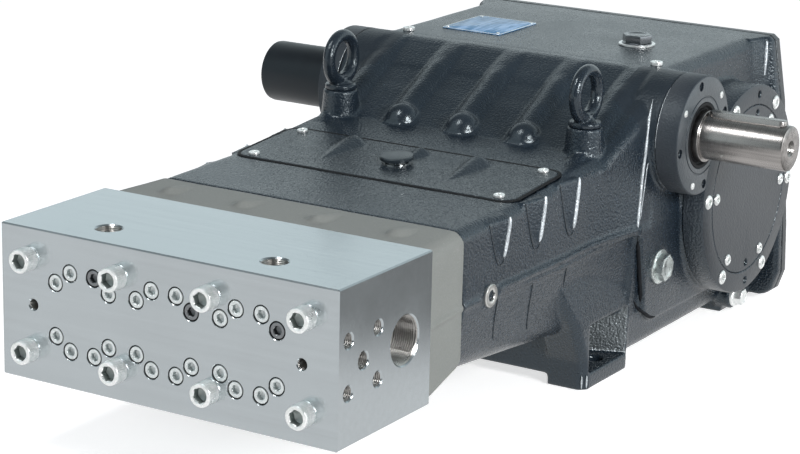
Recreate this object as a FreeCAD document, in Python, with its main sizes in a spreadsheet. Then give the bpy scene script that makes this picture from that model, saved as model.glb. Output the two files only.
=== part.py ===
"""High-pressure plunger pump: head block, spacer, crankcase, covers and drive shaft.

The frame stands on the floor: Z is up, X runs to the drive side and Y to the rear.
Its origin is the centre of the foot bolt pattern on the floor.
"""
import FreeCAD, Part
import math
import os

SIZES = {
    # head block
    "head_width": 390,
    "head_depth": 162,
    "head_height": 154,
    "head_base": 83,
    "big_screw_spacing": 107,
    "big_screw_rise": 46,
    "big_screw_radius": 12,
    "big_screw_height": 16,
    "big_socket_radius": 8.1,
    "big_socket_depth": 8,
    "valve_spacing": 96.6,
    "valve_ring_radius": 41.6,
    "valve_first_angle": 40,
    "valve_second_angle": 70,
    "valve_screw_radius": 8,
    "valve_screw_height": 10,
    "valve_seat_radius": 9,
    "valve_seat_depth": 10.4,
    "valve_socket_radius": 4.6,
    "valve_socket_depth": 5,
    "jack_hole_offset": 155.8,
    "jack_hole_radius": 5.2,
    "jack_hole_depth": 24,
    "top_port_offset": 96.4,
    "top_port_setback": 42.5,
    "top_port_radius": 13,
    "top_port_depth": 28,
    "suction_setback": 114.4,
    "suction_radius": 23.9,
    "suction_mouth_radius": 25.2,
    "suction_depth": 60,
    "outlet_setback": 42.5,
    "outlet_radius": 8,
    "outlet_depth": 60,
    "flange_pitch": 50,
    "flange_hole_radius": 7,
    "flange_hole_depth": 30,
    # spacer casting
    "spacer_length": 76,
    "spacer_front_half": 192,
    "spacer_rear_half": 185,
    "spacer_drop": 2,
    "spacer_rise": 4,
    "spacer_front_round": 8,
    "casting_round": 14,
    "belly_round": 24,
    # crankcase
    "deck_height": 237,
    "deck_break": 354,
    "deck_end": 534,
    "deck_end_height": 250.5,
    "crown_foot": 655,
    "crown_foot_drop": 15,
    "crown_start": 684,
    "crown_height": 321,
    "rear_face": 933,
    "gearcase_start": 590,
    "gearcase_base": 14,
    "gearcase_round": 16,
    "crosshead_base": 62,
    "crosshead_base_start": 480,
    "parting_height": 158.5,
    "crosshead_half": 186,
    "crosshead_top_half": 180,
    "crosshead_base_half": 170,
    "gearcase_half": 203,
    "gearcase_top_half": 184,
    "gearcase_base_half": 194,
    "panel_depth": 7,
    "panel_station": 613,
    "panel_lean": 32,
    "panel_base": 44,
    "panel_corner": 34,
    "rib_spacing": 77.5,
    "rib_radius": 13,
    "rib_foot": 547,
    "rib_foot_height": 250,
    "bulb_radius": 14.3,
    "fin_first": 322,
    "fin_spacing": 73,
    "fin_ramp": 30,
    "fin_back": 6,
    "fin_root": 6,
    "fin_proud": 11,
    "fin_top": 234,
    "fin_tip": 189,
    "rear_flange_thickness": 14,
    "rear_flange_top_half": 191,
    "rear_flange_mid_half": 208,
    "rear_flange_mid_height": 243,
    "rear_flange_half": 220,
    "rear_flange_knee_height": 92,
    "rear_flange_heel_height": 27,
    "rear_flange_base": 7,
    "rear_flange_corner": 10,
    "rear_cover_thickness": 14,
    # feet and the flanks above them
    "foot_pitch": 330,
    "foot_bolt_half": 169,
    "front_reach": 556,
    "foot_bolt_radius": 9,
    "foot_half": 190,
    "foot_inner_half": 144,
    "foot_thickness": 18,
    "foot_corner": 8,
    "foot_front": 505,
    "foot_rear": 594,
    "foot_web": 10,
    "foot_web_base": 12,
    "flank_knee_height": 72,
    "flank_top_height": 130,
    "flank_reach": 60,
    "foot_pocket_inner_half": 126,
    "foot_pocket_slant": 28,
    "rear_foot_half": 186,
    "rear_foot_inner_half": 150,
    "rear_foot_length": 80,
    # shaft line and bearing covers
    "shaft_station": 673,
    "shaft_radius": 25,
    "shaft_run_gap": 0.1,
    "shaft_start": 110,
    "shaft_end": 334.5,
    "shaft_centre_hole": 7,
    "shaft_centre_depth": 28,
    "key_width": 14,
    "key_height": 10,
    "key_depth": 5.5,
    "key_length": 90,
    "key_end_gap": 6,
    "key_seat_gap": 0.3,
    "cover_face": 231,
    "cover_thickness": 25,
    "bearing_cover_radius": 66.5,
    "cover_gap": 0.5,
    "seal_radius": 36.5,
    "seal_depth": 6,
    "seal_recess": 3,
    "seal_ring_radius": 31,
    "shaft_room": 5,
    "bearing_screw_ring": 57,
    "bearing_bolt_radius": 4.5,
    "bearing_bolt_height": 6,
    "bearing_bolt_socket": 2.5,
    "bearing_seat_radius": 5,
    "bearing_seat_depth": 8,
    "bearing_screw_radius": 4,
    "bearing_screw_height": 1.2,
    "guard_radius": 36.8,
    "guard_length": 103,
    # crank covers
    "crank_station": 806,
    "crank_height": 166,
    "crank_cover_radius": 121,
    "crank_plate_radius": 97.7,
    "crank_plate_thickness": 10,
    "crank_outer_ring": 109.5,
    "crank_inner_ring": 88,
    "crank_outer_screw": 8,
    "crank_inner_screw": 6.5,
    "crank_screw_height": 2.5,
    "crank_screw_turn": -4,
    "jack_thread_radius": 4,
    "jack_thread_depth": 8,
    "jack_thread_lean": 8,
    # inspection cover
    "hatch_front": 354,
    "hatch_length": 113,
    "hatch_half": 170,
    "hatch_corner": 16,
    "hatch_thickness": 6,
    "hatch_recess": 5,
    "hatch_gap": 1.5,
    "hatch_screw_half": 151,
    "hatch_screw_inset": 10,
    "hatch_screw_radius": 6,
    "hatch_screw_height": 2.5,
    "knob_radius": 18,
    "knob_height": 9,
    # lifting eyes
    "eye_offset": 155,
    "eye_station": 539,
    "boss_top_radius": 19.4,
    "boss_base_radius": 23,
    "boss_top_height": 279.5,
    "eye_ring_radius": 25,
    "eye_rod_radius": 7,
    "eye_centre_rise": 35,
    "eye_collar_radius": 18,
    "eye_collar_height": 6,
    "eye_neck_radius": 9,
    # deck fittings
    "nameplate_offset": -99,
    "nameplate_station": 775,
    "nameplate_width": 78,
    "nameplate_length": 90,
    "nameplate_thickness": 1.5,
    "rivet_radius": 2.2,
    "rivet_height": 1.2,
    "filler_offset": 92,
    "filler_station": 782,
    "filler_washer_radius": 21,
    "filler_washer_height": 2.5,
    "filler_hex_radius": 17.5,
    "filler_hex_height": 10,
    "deck_screw_offset": 161,
    "deck_screw_station": 693,
    "deck_screw_radius": 7,
    "deck_screw_height": 4,
    # side plugs and the bosses they are screwed into
    "side_plug_station": 290,
    "side_plug_radius": 12,
    "side_plug_height": 4,
    "side_seat_radius": 14.5,
    "side_seat_face": 184,
    "level_plug_station": 644,
    "level_plug_rise": 107,
    "level_plug_radius": 19.5,
    "level_plug_flange": 3,
    "level_hex_radius": 15.5,
    "level_hex_height": 9,
    "level_seat_radius": 21.5,
    "level_seat_face": 199,
    "drain_plug_station": 852,
    "drain_plug_rise": 22,
    "drain_plug_radius": 13,
    "drain_plug_flange": 3,
    "drain_hex_radius": 10,
    "drain_hex_height": 10,
    "drain_boss_radius": 16,
    "drain_seat_face": 200,
}

doc = FreeCAD.newDocument("plunger_pump")
sheet = doc.addObject("Spreadsheet::Sheet", "Sizes")
for row, (alias, number) in enumerate(SIZES.items(), start=1):
    sheet.set("A%d" % row, alias)
    sheet.set("B%d" % row, str(number))
    sheet.setAlias("B%d" % row, alias)
doc.recompute()

TURN = {
    "+X": FreeCAD.Rotation(FreeCAD.Vector(0, 1, 0), 90),
    "-X": FreeCAD.Rotation(FreeCAD.Vector(0, 1, 0), -90),
    "+Y": FreeCAD.Rotation(FreeCAD.Vector(1, 0, 0), -90),
    "-Y": FreeCAD.Rotation(FreeCAD.Vector(1, 0, 0), 90),
    "+Z": FreeCAD.Rotation(),
    "-Z": FreeCAD.Rotation(FreeCAD.Vector(1, 0, 0), 180),
}
HEAD_FRONT = "(-Sizes.foot_pitch / 2 - Sizes.front_reach)"
NODES = []


def size(alias):
    """Return one driving dimension as a number."""
    return float(sheet.get(alias))


def station(alias):
    """Return the Y of a distance that is measured back from the head's front face."""
    return size(alias) - size("foot_pitch") / 2 - size("front_reach")


def bind(item, **formulas):
    """Bind properties of a document object to formulas on the sheet."""
    for name, formula in formulas.items():
        item.setExpression(name, formula)
    return item


def put(item, at=("0", "0", "0"), turn="+Z"):
    """Turn an object and bind its position to three formulas."""
    item.Placement = FreeCAD.Placement(FreeCAD.Vector(), TURN[turn])
    for axis, formula in zip("xyz", at):
        item.setExpression("Placement.Base." + axis, formula)
    return item


def box(length, width, height, at):
    """Make a box with its corner at a point."""
    item = doc.addObject("Part::Box", "Box")
    return put(bind(item, Length=length, Width=width, Height=height), at)


def cylinder(radius, height, at=("0", "0", "0"), turn="+Z"):
    """Make a cylinder that starts at a point and runs along an axis."""
    item = doc.addObject("Part::Cylinder", "Cylinder")
    return put(bind(item, Radius=radius, Height=height), at, turn)


def cone(first, second, height, at=("0", "0", "0"), turn="+Z"):
    """Make a cone frustum that starts at a point and runs along an axis."""
    item = doc.addObject("Part::Cone", "Cone")
    return put(bind(item, Radius1=first, Radius2=second, Height=height), at, turn)


def hexagon(radius, height, at=("0", "0", "0"), turn="+Z"):
    """Make a hexagonal prism that starts at a point and runs along an axis."""
    item = doc.addObject("Part::Prism", "Hexagon")
    item.Polygon = 6
    return put(bind(item, Circumradius=radius, Height=height), at, turn)


def fuse(*items):
    """Fuse objects into one."""
    item = doc.addObject("Part::MultiFuse", "Fusion")
    item.Shapes = list(items)
    return item


def cut(base, *tools):
    """Cut tools out of a base."""
    item = doc.addObject("Part::Cut", "Cut")
    item.Base = base
    item.Tool = tools[0] if len(tools) == 1 else fuse(*tools)
    return item


def node(item, label, at=("0", "0", "0"), turn="+Z"):
    """Name a finished sub-part, put it in its place and list it for export."""
    item.Label = label
    NODES.append(put(item, at, turn))
    return item


def casting(shape, label, at=(0, 0, 0)):
    """Make a free-form casting, whose shape is worked out from the sheet, a sub-part."""
    item = doc.addObject("Part::Feature", label)
    item.Shape = shape
    item.Placement = FreeCAD.Placement(FreeCAD.Vector(*at), FreeCAD.Rotation())
    item.Label = label
    NODES.append(item)
    return item


def socket_screw(radius, height, socket_radius, socket_depth, at, turn):
    """Make a socket head at a point, with its head standing along an axis."""
    signs = {"-Y": ("0", "-1", "0"), "+X": ("1", "0", "0"), "-X": ("-1", "0", "0"), "+Z": ("0", "0", "1")}[turn]
    floor = ["%s + %s * (%s - %s)" % (p, s, height, socket_depth) for p, s in zip(at, signs)]
    head = cylinder(radius, height, at, turn)
    socket = hexagon(socket_radius, socket_depth + " + 1", floor, turn)
    return cut(head, socket)


def prism_x(points, half):
    """Extrude a closed outline of (y, z) points over both sides of the middle plane."""
    wire = Part.makePolygon([FreeCAD.Vector(-half, y, z) for y, z in points + points[:1]])
    return Part.Face(wire).extrude(FreeCAD.Vector(2 * half, 0, 0))


def prism_y(points, start, end):
    """Extrude a closed outline of (x, z) points from one Y to another."""
    wire = Part.makePolygon([FreeCAD.Vector(x, start, z) for x, z in points + points[:1]])
    return Part.Face(wire).extrude(FreeCAD.Vector(0, end - start, 0))


def mirrored(points):
    """Close an outline of (x, z) points on the right with its mirror on the left."""
    return points + [(-x, z) for x, z in reversed(points)]


def between(points, place):
    """Read a broken line of (place, number) points at a place."""
    for (first, start), (last, end) in zip(points, points[1:]):
        if place <= last:
            return start + (end - start) * (place - first) / (last - first)
    return points[-1][1]


def casting_section(y, base, top, walls, base_round):
    """Return the outline across a casting with slanted walls and rounded corners."""
    heights = [base] + [z for z, half in walls[1:-1] if base < z < top] + [top]
    slab = prism_y(mirrored([(between(walls, z), z) for z in heights]), y, y + 1.0)
    for z, radius in ((top, size("casting_round")), (base, base_round)):
        if radius:
            edges = [e for e in slab.Edges if all(abs(v.Z - z) < 0.01 for v in e.Vertexes)
                     and abs(e.Vertexes[0].Y - e.Vertexes[1].Y) > 0.5]
            slab = slab.makeFillet(radius, edges)
    return min(slab.Faces, key=lambda face: face.CenterOfMass.y).OuterWire


def casting_body(stations, base, top, walls, base_round=0):
    """Loft a casting through its sections at several stations."""
    wires = [casting_section(y, between(base, y), between(top, y), walls, base_round) for y in stations]
    return Part.makeLoft(wires, True, True)


# head block
def head_block():
    """Cut the screw seats, ports and tapped holes out of the head block."""
    block = box("Sizes.head_width", "Sizes.head_depth", "Sizes.head_height", ("-Sizes.head_width / 2", "0", "0"))
    middle = "Sizes.head_height / 2"
    tools = []
    for x, z in valve_screw_places():
        tools.append(cylinder("Sizes.valve_seat_radius", "Sizes.valve_seat_depth + 1", (x, "-1", z), "+Y"))
    for side, turn in (("", "-X"), ("-", "+X")):
        face = side + "Sizes.head_width / 2"
        tools.append(cylinder("Sizes.suction_radius", "Sizes.suction_depth",
                              (face, "Sizes.suction_setback", middle), turn))
        tools.append(cone("Sizes.suction_mouth_radius", "Sizes.suction_radius",
                          "Sizes.suction_mouth_radius - Sizes.suction_radius",
                          (face, "Sizes.suction_setback", middle), turn))
        tools.append(cylinder("Sizes.outlet_radius", "Sizes.outlet_depth",
                              (face, "Sizes.outlet_setback", middle), turn))
        for along in ("-", "+"):
            for rise in ("-", "+"):
                place = (face, "Sizes.outlet_setback %s Sizes.flange_pitch / 2" % along,
                         "%s %s Sizes.flange_pitch / 2" % (middle, rise))
                tools.append(cylinder("Sizes.flange_hole_radius", "Sizes.flange_hole_depth", place, turn))
        tools.append(cylinder("Sizes.top_port_radius", "Sizes.top_port_depth",
                              (side + "Sizes.top_port_offset", "Sizes.top_port_setback", "Sizes.head_height"), "-Z"))
        tools.append(cylinder("Sizes.jack_hole_radius", "Sizes.jack_hole_depth",
                              (side + "Sizes.jack_hole_offset", "0", middle), "+Y"))
    return cut(block, *tools)


def valve_screw_places(columns=(-1, 0, 1)):
    """Return the places of the flush screws, eight round each valve."""
    places = []
    for column in columns:
        for angle in ("Sizes.valve_first_angle", "Sizes.valve_second_angle"):
            for turn in ("%s", "180 - %s", "180 + %s", "360 - %s"):
                degrees = "(" + turn % angle + ") * 1deg"
                x = "%d * Sizes.valve_spacing + Sizes.valve_ring_radius * cos(%s)" % (column, degrees)
                z = "Sizes.head_height / 2 + Sizes.valve_ring_radius * sin(%s)" % degrees
                places.append((x, z))
    return places


HEAD_PLACE = ("0", HEAD_FRONT, "Sizes.head_base")
node(head_block(), "valve_head", HEAD_PLACE)

for label, sign in (("head_screws_upper", "+"), ("head_screws_lower", "-")):
    screws = []
    for step in (-1.5, -0.5, 0.5, 1.5):
        place = ("%s * Sizes.big_screw_spacing" % step, "0", "Sizes.head_height / 2 %s Sizes.big_screw_rise" % sign)
        screws.append(socket_screw("Sizes.big_screw_radius", "Sizes.big_screw_height",
                                   "Sizes.big_socket_radius", "Sizes.big_socket_depth", place, "-Y"))
    node(fuse(*screws), label, HEAD_PLACE)

for label, column in (("valve_screws_left", -1), ("valve_screws_centre", 0), ("valve_screws_right", 1)):
    screws = []
    for x, z in valve_screw_places((column,)):
        screws.append(socket_screw("Sizes.valve_screw_radius", "Sizes.valve_screw_height",
                                   "Sizes.valve_socket_radius", "Sizes.valve_socket_depth",
                                   (x, "Sizes.valve_seat_depth", z), "-Y"))
    node(fuse(*screws), label, HEAD_PLACE)


# spacer casting
def spacer_shape():
    """Loft the spacer between the head's back and the crankcase, with rounded long edges."""
    front = size("spacer_front_half")
    rear = size("spacer_rear_half")
    length = size("spacer_length")
    top = size("head_height") - size("spacer_drop")
    wires = []
    for y, half, base, base_round in ((0.0, front, 0.0, size("spacer_front_round")),
                                      (length, rear, size("spacer_rise"), size("belly_round"))):
        wires.append(casting_section(y, base, top, [(base, half), (top, half)], base_round))
    return Part.makeLoft(wires, True, True)


SPACER_START = station("head_depth")
CASING_START = SPACER_START + size("spacer_length")
casting(spacer_shape(), "spacer_housing", (0, SPACER_START, size("head_base")))


# crankcase
def crosshead_walls():
    """Return the half widths of the crosshead casting at three heights."""
    return [
        (size("crosshead_base"), size("crosshead_base_half")),
        (size("parting_height"), size("crosshead_half")),
        (size("deck_end_height"), size("crosshead_top_half")),
    ]


def crosshead_body():
    """Return the long front part under the inspection cover."""
    end = station("crown_foot")
    base = [
        (CASING_START, size("head_base") + size("spacer_rise")),
        (station("crosshead_base_start"), size("crosshead_base")),
        (end, size("crosshead_base")),
    ]
    top = [
        (CASING_START, size("deck_height") - size("spacer_drop")),
        (station("deck_break"), size("deck_height")),
        (station("deck_end"), size("deck_end_height")),
        (end, size("deck_end_height")),
    ]
    stations = sorted({y for y, z in base + top})
    return casting_body(stations, base, top, crosshead_walls(), size("belly_round"))


def crown_line():
    """Return the heights of the slope and the crown along the machine."""
    return [
        (station("deck_end"), size("deck_end_height") - 1),
        (station("crown_foot"), size("crown_height") - size("crown_foot_drop")),
        (station("crown_start"), size("crown_height")),
        (station("rear_face"), size("crown_height")),
    ]


def gearcase_body():
    """Return the tall rear part: the slope, the case and the raised panels on its sides."""
    start = station("gearcase_start")
    rear = station("rear_face")
    top = crown_line()
    depth = size("panel_depth")
    panel_walls = [
        (size("gearcase_base"), size("gearcase_base_half")),
        (size("parting_height"), size("gearcase_half")),
        (size("crown_height"), size("gearcase_top_half")),
    ]
    case_walls = [(z, half - depth) for z, half in panel_walls]
    slope_walls = [(size("parting_height"), size("crosshead_half")), (size("crown_height"), case_walls[-1][1])]
    slope = casting_body([station("deck_end"), start], [(start, size("parting_height"))], top, slope_walls)
    stations = [start] + [y for y, z in top[1:]]
    base = [(start, size("gearcase_base"))]
    case = casting_body(stations, base, top, case_walls, size("gearcase_round"))
    panel = casting_body(stations, base, top, panel_walls, size("gearcase_round"))
    front = station("panel_station")
    outline = prism_x([
        (front, size("panel_base")),
        (rear, size("panel_base")),
        (rear, size("crown_height") + 1),
        (front + size("panel_lean"), size("crown_height") + 1),
        (front, size("parting_height")),
    ], size("head_width"))
    corner = [e for e in outline.Edges
              if all(abs(v.Y - front) < 0.01 and abs(v.Z - size("panel_base")) < 0.01 for v in e.Vertexes)]
    panel = panel.common(outline.makeFillet(size("panel_corner"), corner))
    return slope.fuse(case).fuse(panel)


def slope_ribs():
    """Return the five rounded ribs that run up the slope, each with a bulb at its foot."""
    ribs = []
    for column in (-2, -1, 0, 1, 2):
        x = column * size("rib_spacing")
        foot = FreeCAD.Vector(x, station("rib_foot"), size("rib_foot_height"))
        head = FreeCAD.Vector(x, station("crown_start"), size("crown_height") - size("rib_radius"))
        along = head - foot
        ribs.append(Part.makeCylinder(size("rib_radius"), along.Length, foot, along))
        ribs.append(Part.makeSphere(size("bulb_radius"), foot))
    return ribs


def side_fins():
    """Return the shallow wedge fins under the deck's edges, three on each side."""
    fins = []
    for side in (-1, 1):
        for count in range(3):
            y = station("fin_first") + count * size("fin_spacing")
            wires = []
            for z, grown in ((size("fin_top"), 1.0), (size("fin_tip"), 0.1)):
                wall = between(crosshead_walls(), z)
                outline = [
                    (wall - size("fin_root"), y - size("fin_ramp") * grown),
                    (wall + size("fin_proud") * grown, y),
                    (wall - size("fin_root"), y + size("fin_back")),
                ]
                points = [FreeCAD.Vector(side * a, b, z) for a, b in outline + outline[:1]]
                wires.append(Part.makePolygon(points))
            fins.append(Part.makeLoft(wires, True, True))
    return fins


def flank(side):
    """Return the buttress over one front foot, which flares out of the wall towards the foot."""
    front = station("foot_front") - size("foot_web")
    rear = station("foot_rear")
    inner = size("foot_inner_half")
    outer = size("foot_half")
    corner = size("foot_corner")
    reach = size("flank_reach")
    top = between(crosshead_walls(), size("flank_top_height"))
    sections = (
        (0.0, front, outer),
        (size("crosshead_base") / 2, front, outer),
        (size("flank_knee_height"), front - reach / 3, outer),
        (size("flank_top_height"), front - reach, top - 1),
    )
    wires = []
    for z, start, half in sections:
        outline = [(inner, start), (half - corner, start), (half, start + corner), (half, rear), (inner, rear)]
        points = [FreeCAD.Vector(side * x, y, z) for x, y in outline + outline[:1]]
        wires.append(Part.makePolygon(points))
    return Part.makeLoft(wires, True, True)


def foot_pocket(side):
    """Return the room over one front foot, open to the side, with a slanted inner wall."""
    front = station("foot_front")
    rear = station("foot_rear") - 2
    inner = size("foot_pocket_inner_half")
    outer = size("gearcase_half")
    outline = [
        (inner, front),
        (outer, front),
        (outer, rear),
        (size("foot_half"), rear),
        (inner, rear - size("foot_pocket_slant")),
    ]
    low = size("foot_thickness")
    high = size("flank_knee_height")
    wire = Part.makePolygon([FreeCAD.Vector(side * x, y, low) for x, y in outline + outline[:1]])
    return Part.Face(wire).extrude(FreeCAD.Vector(0, 0, high - low))


def feet():
    """Return the web between the front feet, and the pads of the rear feet."""
    front = station("foot_front") - size("foot_web")
    half = size("foot_pocket_inner_half")
    base = size("foot_web_base")
    core = Part.makeBox(2 * half, station("foot_rear") - front, size("crosshead_base"),
                        FreeCAD.Vector(-half, front, base))
    web = Part.makeBox(2 * size("foot_inner_half"), size("foot_web"), size("crosshead_base"),
                       FreeCAD.Vector(-size("foot_inner_half"), front, base))
    solids = [core, web]
    inner = size("rear_foot_inner_half")
    outer = size("rear_foot_half")
    for side in (-1, 1):
        corner = FreeCAD.Vector(min(side * inner, side * outer),
                                size("foot_pitch") / 2 - size("rear_foot_length") / 2, 0)
        solids.append(Part.makeBox(outer - inner, size("rear_foot_length"), size("gearcase_base") + 1, corner))
    return solids


def rear_outline():
    """Return the outline of the rear flange and its cover."""
    half = size("rear_flange_half")
    corner = size("rear_flange_corner")
    base = size("rear_flange_base")
    top_half = size("rear_flange_top_half")
    return mirrored([
        (half - 1.6 * corner, base),
        (half - 0.6 * corner, base + 0.7 * corner),
        (half, size("rear_flange_heel_height")),
        (half, size("rear_flange_knee_height")),
        (size("rear_flange_mid_half"), size("rear_flange_mid_height")),
        (top_half, size("crown_height") - 0.6 * corner),
        (top_half - 0.6 * corner, size("crown_height")),
    ])


def hatch_outline(grow):
    """Return the rounded outline of the inspection cover on a flat plane, grown by an amount."""
    half = size("hatch_half") + grow
    length = size("hatch_length") + 2 * grow
    plate = Part.makeBox(2 * half, length, 1.0, FreeCAD.Vector(-half, -grow, 0))
    corners = [e for e in plate.Edges if abs(e.Vertexes[0].Z - e.Vertexes[1].Z) > 0.5]
    rounded = plate.makeFillet(size("hatch_corner") + grow, corners)
    return min(rounded.Faces, key=lambda f: f.CenterOfMass.z)


def deck_placement(depth=0.0):
    """Return the placement of the sloping deck at the inspection cover's front edge."""
    rise = size("deck_end_height") - size("deck_height")
    run = size("deck_end") - size("deck_break")
    tilt = math.degrees(math.atan2(rise, run))
    turn = FreeCAD.Rotation(FreeCAD.Vector(1, 0, 0), tilt)
    lift = turn.multVec(FreeCAD.Vector(0, 0, -depth))
    front = FreeCAD.Vector(0, station("hatch_front"), size("deck_height"))
    return FreeCAD.Placement(front + lift, turn)


def fitting_height(name):
    """Return the height of a side fitting above the floor; the bearing cover is flush with the crown."""
    if name == "shaft":
        return size("crown_height") - size("bearing_cover_radius")
    aliases = {"side_plug": "parting_height", "crank": "crank_height"}
    return size(aliases.get(name, name + "_rise"))


def side_disc(side, name, radius, start, end):
    """Return a disc on the axis of a side fitting, from one half width to another."""
    centre = FreeCAD.Vector(side * start, station(name + "_station"), fitting_height(name))
    return Part.makeCylinder(radius, end - start, centre, FreeCAD.Vector(side, 0, 0))


def crankcase_shape():
    """Join the castings of the crankcase and cut its recess, seats and bores."""
    solid = crosshead_body().fuse(gearcase_body())
    cover_back = size("cover_face") - size("cover_thickness")
    parts = slope_ribs() + side_fins() + feet()
    rear = station("rear_face")
    parts.append(prism_y(rear_outline(), rear - size("rear_flange_thickness"), rear))
    recess = hatch_outline(size("hatch_gap")).extrude(FreeCAD.Vector(0, 0, size("hatch_recess") + 10))
    recess.Placement = deck_placement(size("hatch_recess"))
    room = size("shaft_room")
    tools = [recess, side_disc(1, "shaft", size("shaft_radius") + room, size("shaft_start") - room,
                               size("cover_face"))]
    outside = size("head_width")
    for side in (-1, 1):
        parts.append(flank(side))
        base = FreeCAD.Vector(side * size("eye_offset"), station("eye_station"), size("deck_height"))
        parts.append(Part.makeCone(size("boss_base_radius"), size("boss_top_radius"),
                                   size("boss_top_height") - size("deck_height"), base))
        parts.append(side_disc(side, "shaft", size("bearing_cover_radius"), 0, cover_back))
        parts.append(side_disc(side, "crank", size("crank_cover_radius"), 0, cover_back))
        parts.append(side_disc(side, "drain_plug", size("drain_boss_radius"),
                               size("gearcase_base_half") - 2 * size("panel_depth"), size("drain_seat_face")))
        tools.append(foot_pocket(side))
        tools.append(side_disc(side, "side_plug", size("side_seat_radius"), size("side_seat_face"), outside))
        tools.append(side_disc(side, "level_plug", size("level_seat_radius"), size("level_seat_face"), outside))
        tools.append(side_disc(side, "crank", size("crank_cover_radius") + 2 * size("cover_gap"), cover_back,
                               outside))
        for y in (-size("foot_pitch") / 2, size("foot_pitch") / 2):
            tools.append(Part.makeCylinder(size("foot_bolt_radius"), size("foot_thickness") + size("foot_web"),
                                           FreeCAD.Vector(side * size("foot_bolt_half"), y, -1)))
    solid = solid.multiFuse(parts).removeSplitter()
    return solid.cut(Part.makeCompound(tools)).removeSplitter()


casting(crankcase_shape(), "crankcase")


# inspection cover
TILT = "atan((Sizes.deck_end_height - Sizes.deck_height) / (Sizes.deck_end - Sizes.deck_break))"


def station_formula(alias):
    """Return the formula of a station behind the head's front face."""
    return "Sizes.%s - Sizes.foot_pitch / 2 - Sizes.front_reach" % alias


def put_on_deck(item, along, above):
    """Tilt an object with the deck and put it at a distance along and above the deck's foot."""
    y = "%s + (%s) * cos(%s) - (%s) * sin(%s)" % (station_formula("hatch_front"), along, TILT, above, TILT)
    z = "Sizes.deck_height + (%s) * sin(%s) + (%s) * cos(%s)" % (along, TILT, above, TILT)
    item.Placement = FreeCAD.Placement(FreeCAD.Vector(), deck_placement().Rotation)
    item.setExpression("Placement.Rotation.Angle", TILT)
    item.setExpression("Placement.Base.y", y)
    item.setExpression("Placement.Base.z", z)


COVER_TOP = "Sizes.hatch_thickness - Sizes.hatch_recess"
cover = casting(hatch_outline(0.0).extrude(FreeCAD.Vector(0, 0, size("hatch_thickness"))), "inspection_cover")
put_on_deck(cover, "0", "-Sizes.hatch_recess")
knob = node(cylinder("Sizes.knob_radius", "Sizes.knob_height"), "inspection_cover_knob")
put_on_deck(knob, "Sizes.hatch_length / 2", COVER_TOP)
screws = []
for x in ("-", ""):
    for y in ("Sizes.hatch_screw_inset", "Sizes.hatch_length - Sizes.hatch_screw_inset"):
        screws.append(cylinder("Sizes.hatch_screw_radius", "Sizes.hatch_screw_height",
                               (x + "Sizes.hatch_screw_half", y, "0")))
group = node(fuse(*screws), "inspection_cover_screws")
put_on_deck(group, "0", COVER_TOP)

# rear cover
casting(prism_y(rear_outline(), 0.0, size("rear_cover_thickness")), "rear_cover", (0, station("rear_face"), 0))


# lifting eyes
def eyebolt():
    """Make a lifting eye with its collar and neck."""
    ring = doc.addObject("Part::Torus", "Ring")
    bind(ring, Radius1="Sizes.eye_ring_radius", Radius2="Sizes.eye_rod_radius")
    put(ring, ("0", "0", "Sizes.eye_centre_rise"), "+X")
    collar = cylinder("Sizes.eye_collar_radius", "Sizes.eye_collar_height")
    neck = cylinder("Sizes.eye_neck_radius", "Sizes.eye_centre_rise - Sizes.eye_ring_radius")
    return fuse(ring, collar, neck)


for label, sign in (("eyebolt_left", "-"), ("eyebolt_right", "")):
    node(eyebolt(), label, (sign + "Sizes.eye_offset", station_formula("eye_station"), "Sizes.boss_top_height"))

# deck fittings
NAME_PLACE = ("Sizes.nameplate_offset", station_formula("nameplate_station"), "Sizes.crown_height")
plate = box("Sizes.nameplate_width", "Sizes.nameplate_length", "Sizes.nameplate_thickness", ("0", "0", "0"))
node(plate, "nameplate", (NAME_PLACE[0] + " - Sizes.nameplate_width / 2",
                          NAME_PLACE[1] + " - Sizes.nameplate_length / 2", NAME_PLACE[2]))
rivets = []
for x in ("-", ""):
    for y in ("-", ""):
        place = (x + "(Sizes.nameplate_width / 2 - 5)", y + "(Sizes.nameplate_length / 2 - 5)",
                 "Sizes.nameplate_thickness")
        rivets.append(cylinder("Sizes.rivet_radius", "Sizes.rivet_height", place))
node(fuse(*rivets), "nameplate_rivets", NAME_PLACE)

FILLER_PLACE = ("Sizes.filler_offset", station_formula("filler_station"), "Sizes.crown_height")
node(cylinder("Sizes.filler_washer_radius", "Sizes.filler_washer_height"), "filler_washer", FILLER_PLACE)
filler = hexagon("Sizes.filler_hex_radius", "Sizes.filler_hex_height")
node(filler, "filler_plug", FILLER_PLACE[:2] + ("Sizes.crown_height + Sizes.filler_washer_height",))

screws = []
for side in ("-", ""):
    screws.append(cylinder("Sizes.deck_screw_radius", "Sizes.deck_screw_height",
                           (side + "Sizes.deck_screw_offset", "0", "0")))
node(fuse(*screws), "deck_screws", ("0", station_formula("deck_screw_station"), "Sizes.crown_height"))


# bearing covers
HEIGHTS = {
    "shaft": "Sizes.crown_height - Sizes.bearing_cover_radius",
    "crank": "Sizes.crank_height",
    "side_plug": "Sizes.parting_height",
    "level_plug": "Sizes.level_plug_rise",
    "drain_plug": "Sizes.drain_plug_rise",
}


def side_place(sign, name, x):
    """Return the place of a piece on one side wall."""
    return (sign + "(%s)" % x, station_formula(name + "_station"), HEIGHTS[name])


def around(name, ring, angle):
    """Return a place on a ring in the turned frame of one side; angles run from the rear upwards."""
    flip = "-" if name == "right" else ""
    return (flip + "%s * sin(%s)" % (ring, angle), "%s * cos(%s)" % (ring, angle))


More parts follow.
